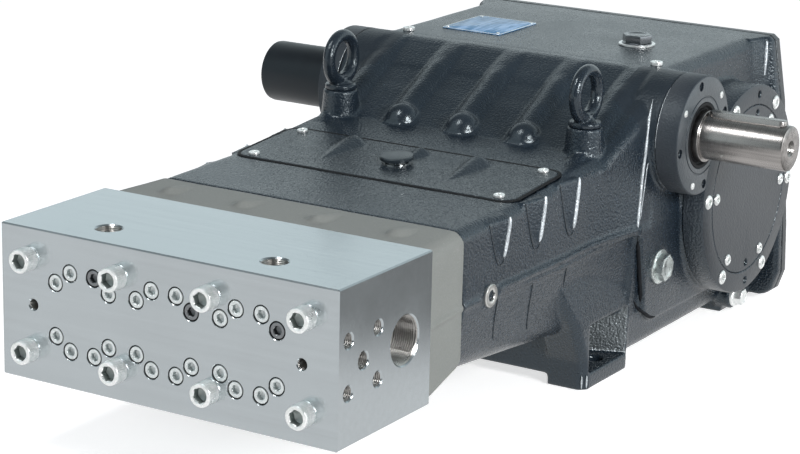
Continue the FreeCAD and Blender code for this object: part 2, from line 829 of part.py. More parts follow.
COVER_BACK = "Sizes.cover_face - Sizes.cover_thickness"
SIDES = (("right", "", "+X"), ("left", "-", "-X"))
for name, sign, turn in SIDES:
    disc = cylinder("Sizes.bearing_cover_radius", "Sizes.cover_thickness")
    above = "%s - %s" % (HEIGHTS["shaft"], HEIGHTS["crank"])
    across = above if name == "right" else "-(%s)" % above
    crank = cylinder("Sizes.crank_cover_radius + Sizes.cover_gap", "Sizes.cover_thickness + 2",
                     (across, "Sizes.crank_station - Sizes.shaft_station", "-1"))
    tools = [crank]
    bolts = []
    floor = "Sizes.cover_thickness - Sizes.bearing_seat_depth"
    for angle in (18, 100, 190, 279):
        x, y = around(name, "Sizes.bearing_screw_ring", "%ddeg" % angle)
        tools.append(cylinder("Sizes.bearing_seat_radius", "Sizes.bearing_seat_depth + 1", (x, y, floor)))
        bolt = cut(cylinder("Sizes.bearing_bolt_radius", "Sizes.bearing_bolt_height", (x, y, floor)),
                   hexagon("Sizes.bearing_bolt_socket", "Sizes.bearing_bolt_height",
                           (x, y, floor + " + Sizes.bearing_bolt_height / 2")))
        bolts.append(bolt)
    if name == "right":
        tools.append(cylinder("Sizes.shaft_radius + Sizes.shaft_room", "Sizes.cover_thickness + 2", ("0", "0", "-1")))
        tools.append(cylinder("Sizes.seal_radius", "Sizes.seal_depth + 1",
                              ("0", "0", "Sizes.cover_thickness - Sizes.seal_depth")))
    place = side_place(sign, "shaft", COVER_BACK)
    node(cut(disc, *tools), "bearing_cover_" + name, place, turn)
    node(fuse(*bolts), "bearing_cover_bolts_" + name, place, turn)
    screws = []
    for angle in (42, 145, 249):
        x, y = around(name, "Sizes.bearing_screw_ring", "%ddeg" % angle)
        screws.append(cylinder("Sizes.bearing_screw_radius", "Sizes.bearing_screw_height", (x, y, "0")))
    node(fuse(*screws), "bearing_cover_screws_" + name,
         side_place(sign, "shaft", "Sizes.cover_face"), turn)

seal = cut(cylinder("Sizes.seal_radius", "Sizes.seal_depth"),
           cylinder("Sizes.shaft_radius + Sizes.shaft_run_gap", "Sizes.seal_depth + 2", ("0", "0", "-1")),
           cylinder("Sizes.seal_ring_radius", "Sizes.seal_depth", ("0", "0", "Sizes.seal_depth - Sizes.seal_recess")))
node(seal, "shaft_seal", side_place("", "shaft", "Sizes.cover_face - Sizes.seal_depth"), "+X")

# drive shaft with its key
KEY_BASE = "Sizes.shaft_end - Sizes.shaft_start - Sizes.key_end_gap - Sizes.key_length"
shaft = cylinder("Sizes.shaft_radius", "Sizes.shaft_end - Sizes.shaft_start")
seat = box("Sizes.key_depth + 1", "Sizes.key_width", "Sizes.key_length + 2 * Sizes.key_seat_gap",
           ("-Sizes.shaft_radius - 1", "-Sizes.key_width / 2", KEY_BASE + " - Sizes.key_seat_gap"))
centre = cylinder("Sizes.shaft_centre_hole", "Sizes.shaft_centre_depth",
                  ("0", "0", "Sizes.shaft_end - Sizes.shaft_start - Sizes.shaft_centre_depth"))
node(cut(shaft, seat, centre), "drive_shaft", side_place("", "shaft", "Sizes.shaft_start"), "+X")

bar = box("Sizes.key_length - Sizes.key_width", "Sizes.key_width", "Sizes.key_height",
          ("Sizes.key_width / 2", "-Sizes.key_width / 2", "0"))
ends = [cylinder("Sizes.key_width / 2", "Sizes.key_height", (x, "0", "0"))
        for x in ("Sizes.key_width / 2", "Sizes.key_length - Sizes.key_width / 2")]
node(fuse(bar, *ends), "shaft_key",
     ("Sizes.shaft_end - Sizes.key_end_gap - Sizes.key_length", station_formula("shaft_station"),
      HEIGHTS["shaft"] + " + Sizes.shaft_radius - Sizes.key_depth"))

node(cylinder("Sizes.guard_radius", "Sizes.guard_length"), "shaft_guard",
     side_place("-", "shaft", "Sizes.cover_face"), "-X")

# crank covers
for name, sign, turn in SIDES:
    ring = cylinder("Sizes.crank_cover_radius", "Sizes.cover_thickness")
    plate = cylinder("Sizes.crank_plate_radius - 0.3", "Sizes.crank_plate_thickness")
    ring_tools = [cylinder("Sizes.crank_plate_radius", "Sizes.crank_plate_thickness + 1",
                           ("0", "0", "Sizes.cover_thickness - Sizes.crank_plate_thickness"))]
    plate_tools = []
    for angle in ("(90 - Sizes.jack_thread_lean) * 1deg", "272deg"):
        for tools, circle, thickness in ((ring_tools, "Sizes.crank_outer_ring", "Sizes.cover_thickness"),
                                         (plate_tools, "Sizes.crank_inner_ring", "Sizes.crank_plate_thickness")):
            x, y = around(name, circle, angle)
            tools.append(cylinder("Sizes.jack_thread_radius", "Sizes.jack_thread_depth + 1",
                                  (x, y, thickness + " - Sizes.jack_thread_depth")))
    plate_x = "Sizes.cover_face - Sizes.crank_plate_thickness"
    node(cut(ring, *ring_tools), "crank_cover_" + name,
         side_place(sign, "crank", COVER_BACK), turn)
    node(cut(plate, *plate_tools), "crank_plate_" + name,
         side_place(sign, "crank", plate_x), turn)
    screws = []
    for step in range(6):
        angle = "(Sizes.crank_screw_turn + %d) * 1deg" % (60 * step)
        for circle, radius in (("Sizes.crank_outer_ring", "Sizes.crank_outer_screw"),
                               ("Sizes.crank_inner_ring", "Sizes.crank_inner_screw")):
            x, y = around(name, circle, angle)
            screws.append(cylinder(radius, "Sizes.crank_screw_height", (x, y, "0")))
    node(fuse(*screws), "crank_cover_screws_" + name,
         side_place(sign, "crank", "Sizes.cover_face"), turn)


# side plugs
def oil_plug(name):
    """Make a flanged hexagon plug."""
    flange = cylinder("Sizes.%s_plug_radius" % name, "Sizes.%s_plug_flange" % name)
    head = hexagon("Sizes.%s_hex_radius" % name, "Sizes.%s_hex_height" % name,
                   ("0", "0", "Sizes.%s_plug_flange" % name))
    return fuse(flange, head)


for name, sign, turn in SIDES:
    plug = cut(cylinder("Sizes.side_plug_radius", "Sizes.side_plug_height"),
               hexagon("Sizes.side_plug_radius / 2", "3", ("0", "0", "Sizes.side_plug_height - 2")))
    node(plug, "side_plug_" + name,
         side_place(sign, "side_plug", "Sizes.side_seat_face"), turn)
    for kind in ("level", "drain"):
        place = side_place(sign, kind + "_plug", "Sizes.%s_seat_face" % kind)
        node(oil_plug(kind), "%s_plug_%s" % (kind, name), place, turn)

doc.recompute()
for item in doc.Objects:
    if "Invalid" in item.State or "Error" in item.State:
        raise ValueError("%s: %s" % (item.Name, item.State))
os.makedirs("parts", exist_ok=True)
for item in NODES:
    if item.Shape.isNull() or not item.Shape.isValid():
        raise ValueError("no valid shape: " + item.Label)
    item.Shape.exportStep(os.path.join("parts", item.Label + ".step"))
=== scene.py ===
"""High-pressure plunger pump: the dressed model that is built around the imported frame.

All sizes in the classes are millimetres in the frame's axes.
X runs to the drive side, Y to the rear and Z up.
"""
import logging
import math
from dataclasses import dataclass, field
from enum import Enum
from typing import Callable, List, Optional, Sequence, Tuple

import bmesh
import bpy
import numpy as np
from mathutils import Matrix
from mathutils.bvhtree import BVHTree


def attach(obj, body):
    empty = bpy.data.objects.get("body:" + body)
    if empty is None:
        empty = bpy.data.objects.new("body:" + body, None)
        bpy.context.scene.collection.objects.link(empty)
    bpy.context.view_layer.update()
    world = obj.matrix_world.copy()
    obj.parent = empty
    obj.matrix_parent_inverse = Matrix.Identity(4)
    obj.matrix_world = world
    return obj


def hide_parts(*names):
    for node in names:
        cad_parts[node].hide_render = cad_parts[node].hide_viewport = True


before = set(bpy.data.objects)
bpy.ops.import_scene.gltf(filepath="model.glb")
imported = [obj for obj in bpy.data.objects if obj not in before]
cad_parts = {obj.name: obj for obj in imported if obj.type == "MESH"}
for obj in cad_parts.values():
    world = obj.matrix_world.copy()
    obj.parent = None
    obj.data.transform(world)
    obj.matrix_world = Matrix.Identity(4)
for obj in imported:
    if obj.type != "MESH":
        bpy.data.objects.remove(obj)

MM = 0.001
LOG = logging.getLogger("plunger_pump")

Array = np.ndarray
Item = bpy.types.Object
Vec = Sequence[float]
Point = Tuple[float, float, float]
Colour = Point
Pair = Tuple[float, float]
Table = Tuple[Tuple[float, ...], Tuple[float, ...]]
Profile = Sequence[Tuple]
Outline = Callable[[float], Array]
Socket = bpy.types.NodeSocket
Recipe = Tuple[Socket, Socket, Socket]

SIDES = (-1, 1)
OUTWARD = (1, 0, 0)
FORWARD = (0, -1, 0)
UPWARD = (0, 0, 1)
ORIGIN = (0.0, 0.0, 0.0)
LYING = np.eye(3)
STANDING = np.array([[1.0, 0.0, 0.0], [0.0, 0.0, 1.0], [0.0, 1.0, 0.0]])
SHAFT_LINE = (-48.0, 254.5)
CRANK_LINE = (85.0, 166.0)

KNURL_TEETH = 36
KNURL_DEPTH = 0.035
LEAST_CORNER = 0.02
DOME_GRID = (40, 25)
DOME_SINK = 2.0
MERGE_DISTANCE = 2e-6
SKIN_WAVE = 0.09
SKIN_WAVES = ((0, 1, 17.0, 1.3, 31.0), (1, 2, 13.0, 1.1, 23.0), (2, 0, 15.0, 0.9, 29.0))
SHARP_ANGLE = 32.0
CASTING_ANGLE = 60.0


class Form(Enum):
    """The outline that one ring of a turned piece follows."""

    ROUND = 0
    HEXAGON = 1
    KNURLED = 2


class Grain(Enum):
    """The surface structure that a finish shows close up."""

    CAST = "cast"
    GROUND = "ground"
    TURNED = "turned"
    PLATED = "plated"
    MOULDED = "moulded"
    SHEET = "sheet"


@dataclass
class Shell:
    """A closed surface: points in millimetres, with faces of four and of three corners."""

    points: Array
    quads: Array
    tris: Array

    def volume(self) -> float:
        """Return the signed volume, which is positive when the faces point outwards."""
        tris = np.concatenate([self.tris, self.quads[:, [0, 1, 2]], self.quads[:, [0, 2, 3]]])
        a, b, c = (self.points[tris[:, k]] for k in range(3))
        return float(np.einsum("ij,ij->i", a, np.cross(b, c)).sum() / 6.0)

    def outward(self) -> "Shell":
        """Return the shell with its faces pointing outwards."""
        if self.volume() >= 0.0:
            return self
        return Shell(self.points, self.quads[:, ::-1], self.tris[:, ::-1])

    def mirrored(self) -> "Shell":
        """Return the shell mirrored over the middle plane of the pump, x to minus x."""
        return Shell(self.points * np.array([-1.0, 1.0, 1.0]), self.quads[:, ::-1], self.tris[:, ::-1])


def joined(shells: Sequence[Shell]) -> Shell:
    """Return several shells as one, each with its own faces."""
    starts = np.cumsum([0] + [len(s.points) for s in shells[:-1]])
    return Shell(
        np.concatenate([s.points for s in shells]),
        np.concatenate([s.quads + n for s, n in zip(shells, starts)]).astype(int),
        np.concatenate([s.tris + n for s, n in zip(shells, starts)]).astype(int),
    )


def ring_faces(rings: int, around: int, loop: bool) -> Array:
    """Return the quads between rings of points that are closed around.

    Args:
        rings: how many rings there are.
        around: how many points a ring has.
        loop: whether the last ring joins the first.

    Returns:
        An array of corner numbers, four to a face.
    """
    rows = np.arange(rings if loop else rings - 1)[:, None]
    cols = np.arange(around)[None, :]
    nxt = (cols + 1) % around
    up = (rows + 1) % rings
    faces = np.stack([rows * around + cols, rows * around + nxt, up * around + nxt, up * around + cols], -1)
    return faces.reshape(-1, 4)


def skin(rings: Array, loop: bool = False) -> Shell:
    """Close a stack of rings into a shell; the first and last get a fan to their middle unless they loop.

    Args:
        rings: points as rings by places around by three.
        loop: whether the last ring joins the first.

    Returns:
        The shell, with its faces outwards.
    """
    count, around, _ = rings.shape
    points = rings.reshape(-1, 3)
    quads = ring_faces(count, around, loop)
    tris = np.zeros((0, 3), int)
    if not loop:
        middles = np.stack([rings[0].mean(0), rings[-1].mean(0)])
        cols = np.arange(around)
        nxt = (cols + 1) % around
        first = np.stack([np.full(around, len(points)), nxt, cols], -1)
        top = (count - 1) * around
        last = np.stack([np.full(around, len(points) + 1), top + cols, top + nxt], -1)
        points = np.concatenate([points, middles])
        tris = np.concatenate([first, last])
    return Shell(points, quads, tris).outward()


def basis(direction: Vec) -> Array:
    """Return three unit rows across, up and along a direction; across keeps to the rear or to the right."""
    along = np.asarray(direction, float) / np.linalg.norm(direction)
    side = np.array([0.0, 1.0, 0.0]) if abs(along[0]) > 0.5 else np.array([1.0, 0.0, 0.0])
    side = side - along * side.dot(along)
    side /= np.linalg.norm(side)
    return np.stack([side, np.cross(along, side), along])


def about(reach: Array, angle: Array, height: Array, centre: Vec, direction: Vec) -> Array:
    """Return rings about an axis: centre + reach (cos angle across + sin angle up) + height along."""
    across, up, along = basis(direction)
    return (np.asarray(centre, float) + (reach * np.cos(angle))[..., None] * across
            + (reach * np.sin(angle))[..., None] * up + height[..., None] * along)


def turned(profile: Profile, centre: Vec, direction: Vec, around: int = 64, turn: float = 0.0) -> Shell:
    """Turn a profile about an axis: point = centre + r(t) (cos t across + sin t up) + h along.

    The radius of a hexagon ring is its half width over the cosine of the angle from the flat's middle, and
    that of a knurled ring dips by the knurl's depth between its teeth.

    Args:
        profile: (radius, height) or (radius, height, Form) of each ring; it closes on itself unless it
            starts at radius 0.
        centre: the point that height 0 lies at.
        direction: the axis.
        around: places around the axis.
        turn: angle of the first place, in degrees.

    Returns:
        The shell.
    """
    radius = np.array([p[0] for p in profile], float)[:, None]
    height = np.array([p[1] for p in profile], float)[:, None]
    form = np.array([(p[2] if len(p) > 2 else Form.ROUND).value for p in profile])[:, None]
    theta = np.arange(around)[None, :] * 2.0 * math.pi / around
    flat = 1.0 / np.cos((theta % (math.pi / 3)) - math.pi / 6)
    knurl = 1.0 - KNURL_DEPTH * np.abs(np.sin(theta * KNURL_TEETH / 2.0)) ** 1.5
    scale = np.where(form == Form.HEXAGON.value, flat, np.where(form == Form.KNURLED.value, knurl, 1.0))
    rings = about(radius * scale, theta + math.radians(turn), height, centre, direction)
    if profile[0][0] == 0:
        return skin(rings[1:-1])
    return skin(rings, loop=True)


def disc(radius: float, start: float, end: float, chamfer: float) -> List[Tuple]:
    """Return the profile of a disc whose far rim is a chamfer that starts softly."""
    soft = chamfer * 0.3
    return [(0, start), (radius, start), (radius, end - chamfer), (radius - soft, end - soft * 1.2),
            (radius - chamfer, end), (0, end)]


def rounded(half_x: float, half_y: float, corner: float, steps: int) -> Array:
    """Return the outline of a rectangle with rounded corners: corner centre + corner (cos t, sin t).

    Args:
        half_x: half its width.
        half_y: half its height.
        corner: the radius of its corners.
        steps: the points on each corner.

    Returns:
        The points, counter-clockwise from the right.
    """
    quarter = np.linspace(0.0, math.pi / 2, steps)
    angles = (np.arange(4)[:, None] * math.pi / 2 + quarter[None, :]).ravel()
    signs = np.repeat(np.array([[1, 1], [-1, 1], [-1, -1], [1, -1]], float), steps, axis=0)
    centres = signs * np.array([half_x - corner, half_y - corner])
    return centres + corner * np.stack([np.cos(angles), np.sin(angles)], -1)


def plate(half_x: float, half_y: float, corner: float, steps: int) -> Outline:
    """Return a rounded rectangle as a function of its inset: halves and corner shrink by the inset."""
    return lambda amount: rounded(half_x - amount, half_y - amount, max(corner - amount, LEAST_CORNER), steps)


def inset(outline: Array, amount: float) -> Array:
    """Move each corner of a convex outline inwards, along the mean of its two sides' normals.

    Args:
        outline: the (u, v) points, counter-clockwise.
        amount: how far each side moves.

    Returns:
        The moved points.
    """
    before = outline - np.roll(outline, 1, axis=0)
    after = np.roll(outline, -1, axis=0) - outline
    normals = []
    for side in (before, after):
        length = np.linalg.norm(side, axis=1, keepdims=True)
        normals.append(np.stack([-side[:, 1], side[:, 0]], -1) / np.maximum(length, 1e-9))
    mean = normals[0] + normals[1]
    mean /= np.maximum((mean * normals[0]).sum(1, keepdims=True), 0.3)
    return outline + mean * amount


def slab(outline: Outline, steps: Sequence[Pair], origin: Vec, rows: Array) -> Shell:
    """Carry an outline through a thickness: each ring is the outline, inset by its step and at its height.

    Args:
        outline: gives the (u, v) points for an inset, counter-clockwise.
        steps: (inset, height) of each ring.
        origin: where (0, 0) at height 0 lies.
        rows: the directions of u, v and height.

    Returns:
        The shell.
    """
    flat = np.stack([outline(amount) for amount, _ in steps])
    height = np.array([h for _, h in steps], float)[:, None, None]
    rings = np.asarray(origin, float) + flat[..., :1] * rows[0] + flat[..., 1:] * rows[1] + height * rows[2]
    return skin(rings)


def swept(path: Array, radius: Array, around: int = 12) -> Shell:
    """Carry a round section along a path: point = path(s) + radius(s) (cos t side + sin t up).

    Args:
        path: points along the bead.
        radius: the section's radius at each point.
        around: places around the section.

    Returns:
        The shell.
    """
    tangent = np.gradient(path, axis=0)
    tangent /= np.linalg.norm(tangent, axis=1, keepdims=True)
    guide = np.array([0.0, 0.0, 1.0]) if abs(tangent[:, 2]).max() < 0.9 else np.array([0.0, 1.0, 0.0])
    side = np.cross(tangent, guide)
    side /= np.linalg.norm(side, axis=1, keepdims=True)
    up = np.cross(side, tangent)
    theta = np.arange(around) * 2.0 * math.pi / around
    reach = np.asarray(radius, float).reshape(-1, 1, 1)
    rings = (path[:, None, :] + reach * np.cos(theta)[None, :, None] * side[:, None, :]
             + reach * np.sin(theta)[None, :, None] * up[:, None, :])
    return skin(rings)


def dome(length: float, half: Callable, rise: Callable, origin: Vec, rows: Array) -> Shell:
    """Raise a bump over a strip: height = rise(s) (1 - t^2)^1.5 at (t half(s), s length).

    It is closed by a flat underside that lies below the surface.

    Args:
        length: how far the bump runs.
        half: its half width at s from 0 to 1.
        rise: its height at s from 0 to 1.
        origin: where it starts.
        rows: the directions across, along and up.

    Returns:
        The shell.
    """
    s = np.linspace(0.0, 1.0, DOME_GRID[0])[:, None]
    t = np.cos(np.linspace(0.0, math.pi, DOME_GRID[1]))[None, :]
    width = np.maximum(half(s), 0.05)
    over = rise(s) * (1.0 - t ** 2) ** 1.5
    top = np.stack([t * width, np.broadcast_to(s * length, over.shape), over], -1)
    under = top[:, ::-1].copy()
    under[..., 2] = -DOME_SINK
    rings = np.concatenate([top, under], axis=1)
    return skin(np.asarray(origin, float) + rings @ np.asarray(rows, float))


@dataclass(frozen=True)
class Tap:
    """A tapped hole: its radius, its depth, the thread's pitch and depth, and how far its mouth flares."""

    radius: float
    depth: float
    pitch: float
    thread: float
    flare: float = 1.0
    around: int = 40
    threaded: float = 0.75
    proud: float = 0.6
    tip: float = 0.2

    def ring(self, radius: float) -> Array:
        """Return one round ring of radii."""
        return np.full((1, self.around), radius)

    def threads(self) -> Tuple[Array, Array]:
        """Return the thread: r = radius - thread |2 frac(h / pitch - t / turn) - 1|, five rings to a turn.

        Returns:
            The rings' heights as a column, and their radii, ring by place.
        """
        height = -np.arange(0.0, self.depth * self.threaded, self.pitch / 5.0)[:, None]
        theta = np.arange(self.around)[None, :] / self.around
        wave = np.abs(2.0 * ((height / self.pitch - theta) % 1.0) - 1.0)
        return height, self.radius - self.thread * wave

    def cutter(self, centre: Vec, direction: Vec) -> Shell:
        """Return what cuts the hole: a cone at the mouth, the thread, a plain wall and a blunt tip.

        Args:
            centre: the middle of the mouth.
            direction: out of the hole.

        Returns:
            The shell.
        """
        height, reach = self.threads()
        wide, narrow = self.radius + self.flare, self.radius - self.thread
        mouth = np.clip(wide + height, narrow, wide)
        reach = np.maximum(reach, np.where(height > -self.flare - self.thread, mouth, 0.0))
        reach = np.concatenate([self.ring(wide + self.proud), reach, self.ring(narrow), self.ring(self.tip)])
        bottom = -self.depth - self.radius * 0.5
        height = np.concatenate([[[self.proud]], height, [[-self.depth]], [[bottom]]])
        theta = np.arange(self.around) * 2.0 * math.pi / self.around
        return skin(about(reach, theta, height, centre, direction))


def fill(mesh: bpy.types.Mesh, shell: Shell) -> None:
    """Put a shell into a mesh, in metres."""
    loops = np.concatenate([shell.quads.ravel(), shell.tris.ravel()]).astype(np.int32)
    totals = np.concatenate([np.full(len(shell.quads), 4), np.full(len(shell.tris), 3)]).astype(np.int32)
    starts = np.concatenate([[0], np.cumsum(totals)[:-1]]).astype(np.int32)
    mesh.vertices.add(len(shell.points))
    mesh.vertices.foreach_set("co", (shell.points * MM).astype(np.float32).ravel())
    mesh.loops.add(len(loops))
    mesh.loops.foreach_set("vertex_index", loops)
    mesh.polygons.add(len(totals))
    mesh.polygons.foreach_set("loop_start", starts)
    mesh.update(calc_edges=True)
    mesh.validate()


def values(rows: bpy.types.bpy_prop_collection, key: str, width: int = 3,
           kind: type = np.float32) -> Array:
    """Return one property of a mesh's points, corners or faces, a row of the given width for each."""
    flat = np.zeros(len(rows) * width, kind)
    rows.foreach_get(key, flat)
    return flat.reshape(-1, width)


def linked(name: str, data: bpy.types.ID) -> Item:
    """Return a new object in the scene that holds a mesh, a lamp or a camera."""
    item = bpy.data.objects.new(name, data)
    bpy.context.scene.collection.objects.link(item)
    return item


def aimed(item: Item, rows: Sequence[Vec], place: Vec) -> None:
    """Turn an object so that its axes lie along the rows, and move it to a place."""
    turn = Matrix(rows).transposed().to_4x4()
    turn.translation = place
    item.matrix_world = turn


def as_object(name: str, shell: Shell) -> Item:
    """Return a new object in the scene that holds a shell."""
    mesh = bpy.data.meshes.new(name)
    fill(mesh, shell)
    return linked(name, mesh)


def settled(item: Item) -> Item:
    """Replace an object's mesh with what its modifiers make of it, and take them off."""
    bpy.context.view_layer.update()
    graph = bpy.context.evaluated_depsgraph_get()
    mesh = bpy.data.meshes.new_from_object(item.evaluated_get(graph))
    item.modifiers.clear()
    old = item.data
    item.data = mesh
    bpy.data.meshes.remove(old)
    return item


def carved(item: Item, cutter: Shell) -> Item:
    """Cut a shell out of an object."""
    tool = as_object("cutter", cutter)
    change = item.modifiers.new("carve", "BOOLEAN")
    change.operation = "DIFFERENCE"
    change.solver = "MANIFOLD"
    change.object = tool
    settled(item)
    mesh = tool.data
    bpy.data.objects.remove(tool)
    bpy.data.meshes.remove(mesh)
    return item


def cad_shell(node: str) -> Shell:
    """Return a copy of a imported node's mesh as a shell, with its doubled points merged."""
    work = bmesh.new()
    work.from_mesh(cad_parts[node].data)
    bmesh.ops.remove_doubles(work, verts=work.verts, dist=MERGE_DISTANCE)
    bmesh.ops.triangulate(work, faces=work.faces)
    mesh = bpy.data.meshes.new("copy")
    work.to_mesh(mesh)
    work.free()
    points = values(mesh.vertices, "co") / MM
    corners = values(mesh.loops, "vertex_index", 1, np.int32).reshape(-1, 3).astype(int)
    bpy.data.meshes.remove(mesh)
    return Shell(points, np.zeros((0, 4), int), corners)


def evened(item: Item, rounds: int) -> None:
    """Add a modifier that moves each point halfway to the mean of its neighbours, some rounds long."""
    even = item.modifiers.new("even", "SMOOTH")
    even.factor = 0.5
    even.iterations = rounds


def softened(name: str, shells: Sequence[Shell], voxel: float, rounds: int, faces: int,
             shift: Optional[Callable] = None, late: int = 0) -> Item:
    """Melt shells into one casting with soft edges and fillets.

    The union is sampled on a cube grid, each point moves towards the mean of its neighbours a few times, and
    the flat stretches are thinned.

    Args:
        name: the piece's name.
        shells: what is melted together.
        voxel: the grid's step in millimetres.
        rounds: how often the points are evened out.
        faces: about how many triangles stay.
        shift: moves whole arrays of (points, normals) and returns points.
        late: how often the points are evened out once more after the shift.

    Returns:
        The object.
    """
    item = as_object(name, joined(shells))
    grid = item.modifiers.new("grid", "REMESH")
    grid.mode = "VOXEL"
    grid.voxel_size = voxel * MM
    evened(item, rounds)
    mesh = settled(item).data
    if shift is not None:
        moved = shift(values(mesh.vertices, "co") / MM, values(mesh.vertices, "normal"))
        mesh.vertices.foreach_set("co", (moved * MM).astype(np.float32).ravel())
        mesh.update()
    if late:
        evened(item, late)
        mesh = settled(item).data
    triangles = 2 * len(mesh.polygons)
    if triangles > faces:
        thin = item.modifiers.new("thin", "DECIMATE")
        thin.ratio = faces / triangles
        settled(item)
    return item


def unevenness(points: Array, normals: Array) -> Array:
    """Make a casting's skin slightly uneven: each point moves along its normal by a sum of slow sine waves.

    Each wave is sin(a / length + sway sin(b / slow)), with a and b two of the coordinates.

    Args:
        points: the skin's points.
        normals: its normals.

    Returns:
        The moved points.
    """
    wave = 0.0
    for a, b, length, sway, slow in SKIN_WAVES:
        wave = wave + np.sin(points[:, a] / length + sway * np.sin(points[:, b] / slow))
    return points + normals * (SKIN_WAVE * wave)[:, None]


class Graph:
    """A short way to lay out a material's nodes."""

    def __init__(self, tree: bpy.types.NodeTree) -> None:
        """Keep the tree and the object coordinates that every pattern starts from."""
        self.tree = tree
        self.place = self.add("ShaderNodeTexCoord").outputs["Object"]

    @classmethod
    def of(cls, owner: object) -> "Graph":
        """Return the emptied nodes of a material or a world."""
        owner.use_nodes = True
        owner.node_tree.nodes.clear()
        return cls(owner.node_tree)

    def add(self, kind: str, inputs: Optional[dict] = None, **settings: object) -> bpy.types.Node:
        """Add a node with settings.

        Args:
            kind: the node's type.
            inputs: what goes into its sockets, by name or place: a socket is linked, a value is set.
            settings: the node's own settings.

        Returns:
            The node.
        """
        node = self.tree.nodes.new(kind)
        for key, value in settings.items():
            setattr(node, key, value)
        for key, value in (inputs or {}).items():
            if isinstance(value, Socket):
                self.tree.links.new(value, node.inputs[key])
            else:
                node.inputs[key].default_value = value
        return node

    def mapped(self, scale: Vec, centre: Vec = ORIGIN) -> Socket:
        """Return the object coordinates, centred and scaled."""
        place = [-c * s for c, s in zip(centre, scale)]
        inputs = {"Vector": self.place, "Location": place, "Scale": scale}
        return self.add("ShaderNodeMapping", inputs).outputs["Vector"]

    def noise(self, scale: float, detail: float = 3.0, rough: float = 0.55,
              vector: Optional[Socket] = None) -> Socket:
        """Return a noise with so many lumps to a metre over the object coordinates or another vector."""
        inputs = {"Vector": vector or self.place, "Scale": scale, "Detail": detail, "Roughness": rough}
        return self.add("ShaderNodeTexNoise", inputs).outputs["Fac"]

    def ranged(self, value: Socket, low: float, high: float, start: float = 0.3, end: float = 0.7) -> Socket:
        """Return a value spread from start to end onto low to high, and held there outside."""
        inputs = {"Value": value, "From Min": start, "From Max": end, "To Min": low, "To Max": high}
        return self.add("ShaderNodeMapRange", inputs).outputs["Result"]

    def blend(self, factor: Socket, first: object, second: object) -> Socket:
        """Return a mix of two colours, each a colour or a socket; they are the Mix node's sockets 6 and 7."""
        first, second = (c if isinstance(c, Socket) else (*c, 1.0) for c in (first, second))
        return self.add("ShaderNodeMix", {0: factor, 6: first, 7: second}, data_type="RGBA").outputs[2]

    def total(self, first: Socket, second: Socket, weight: float) -> Socket:
        """Return first plus weight times second."""
        inputs = {0: second, 1: weight, 2: first}
        return self.add("ShaderNodeMath", inputs, operation="MULTIPLY_ADD").outputs[0]

    def distance(self, vector: Socket) -> Socket:
        """Return how far a vector reaches from the origin."""
        return self.add("ShaderNodeVectorMath", {0: vector}, operation="LENGTH").outputs["Value"]

    def glow(self, kind: str, colour: Colour, strength: object) -> Socket:
        """Return a background or an emission with a colour and a strength, a value or a socket."""
        return self.add(kind, {"Color": (*colour, 1.0), "Strength": strength}).outputs[0]

    def shared(self, factor: Socket, first: Socket, second: Socket) -> Socket:
        """Return a mix of two shaders."""
        return self.add("ShaderNodeMixShader", {0: factor, 1: first, 2: second}).outputs[0]

    def bump(self, height: Socket, strength: float, distance: float) -> Socket:
        """Return a normal that follows a height."""
        inputs = {"Height": height, "Strength": strength, "Distance": distance}
        return self.add("ShaderNodeBump", inputs).outputs["Normal"]


def shade(colour: Vec, factor: float) -> Tuple[float, ...]:
    """Return a colour made lighter or darker."""
    return tuple(min(1.0, c * factor) for c in colour)


WHITE = (1.0, 1.0, 1.0)
PAINT_SHEEN = (0.86, 0.96, 1.0, 1.0)
RELIEF = {Grain.CAST: 0.0018, Grain.GROUND: 0.00012, Grain.TURNED: 0.00008, Grain.PLATED: 0.00006,
          Grain.MOULDED: 0.0002, Grain.SHEET: 0.0001}


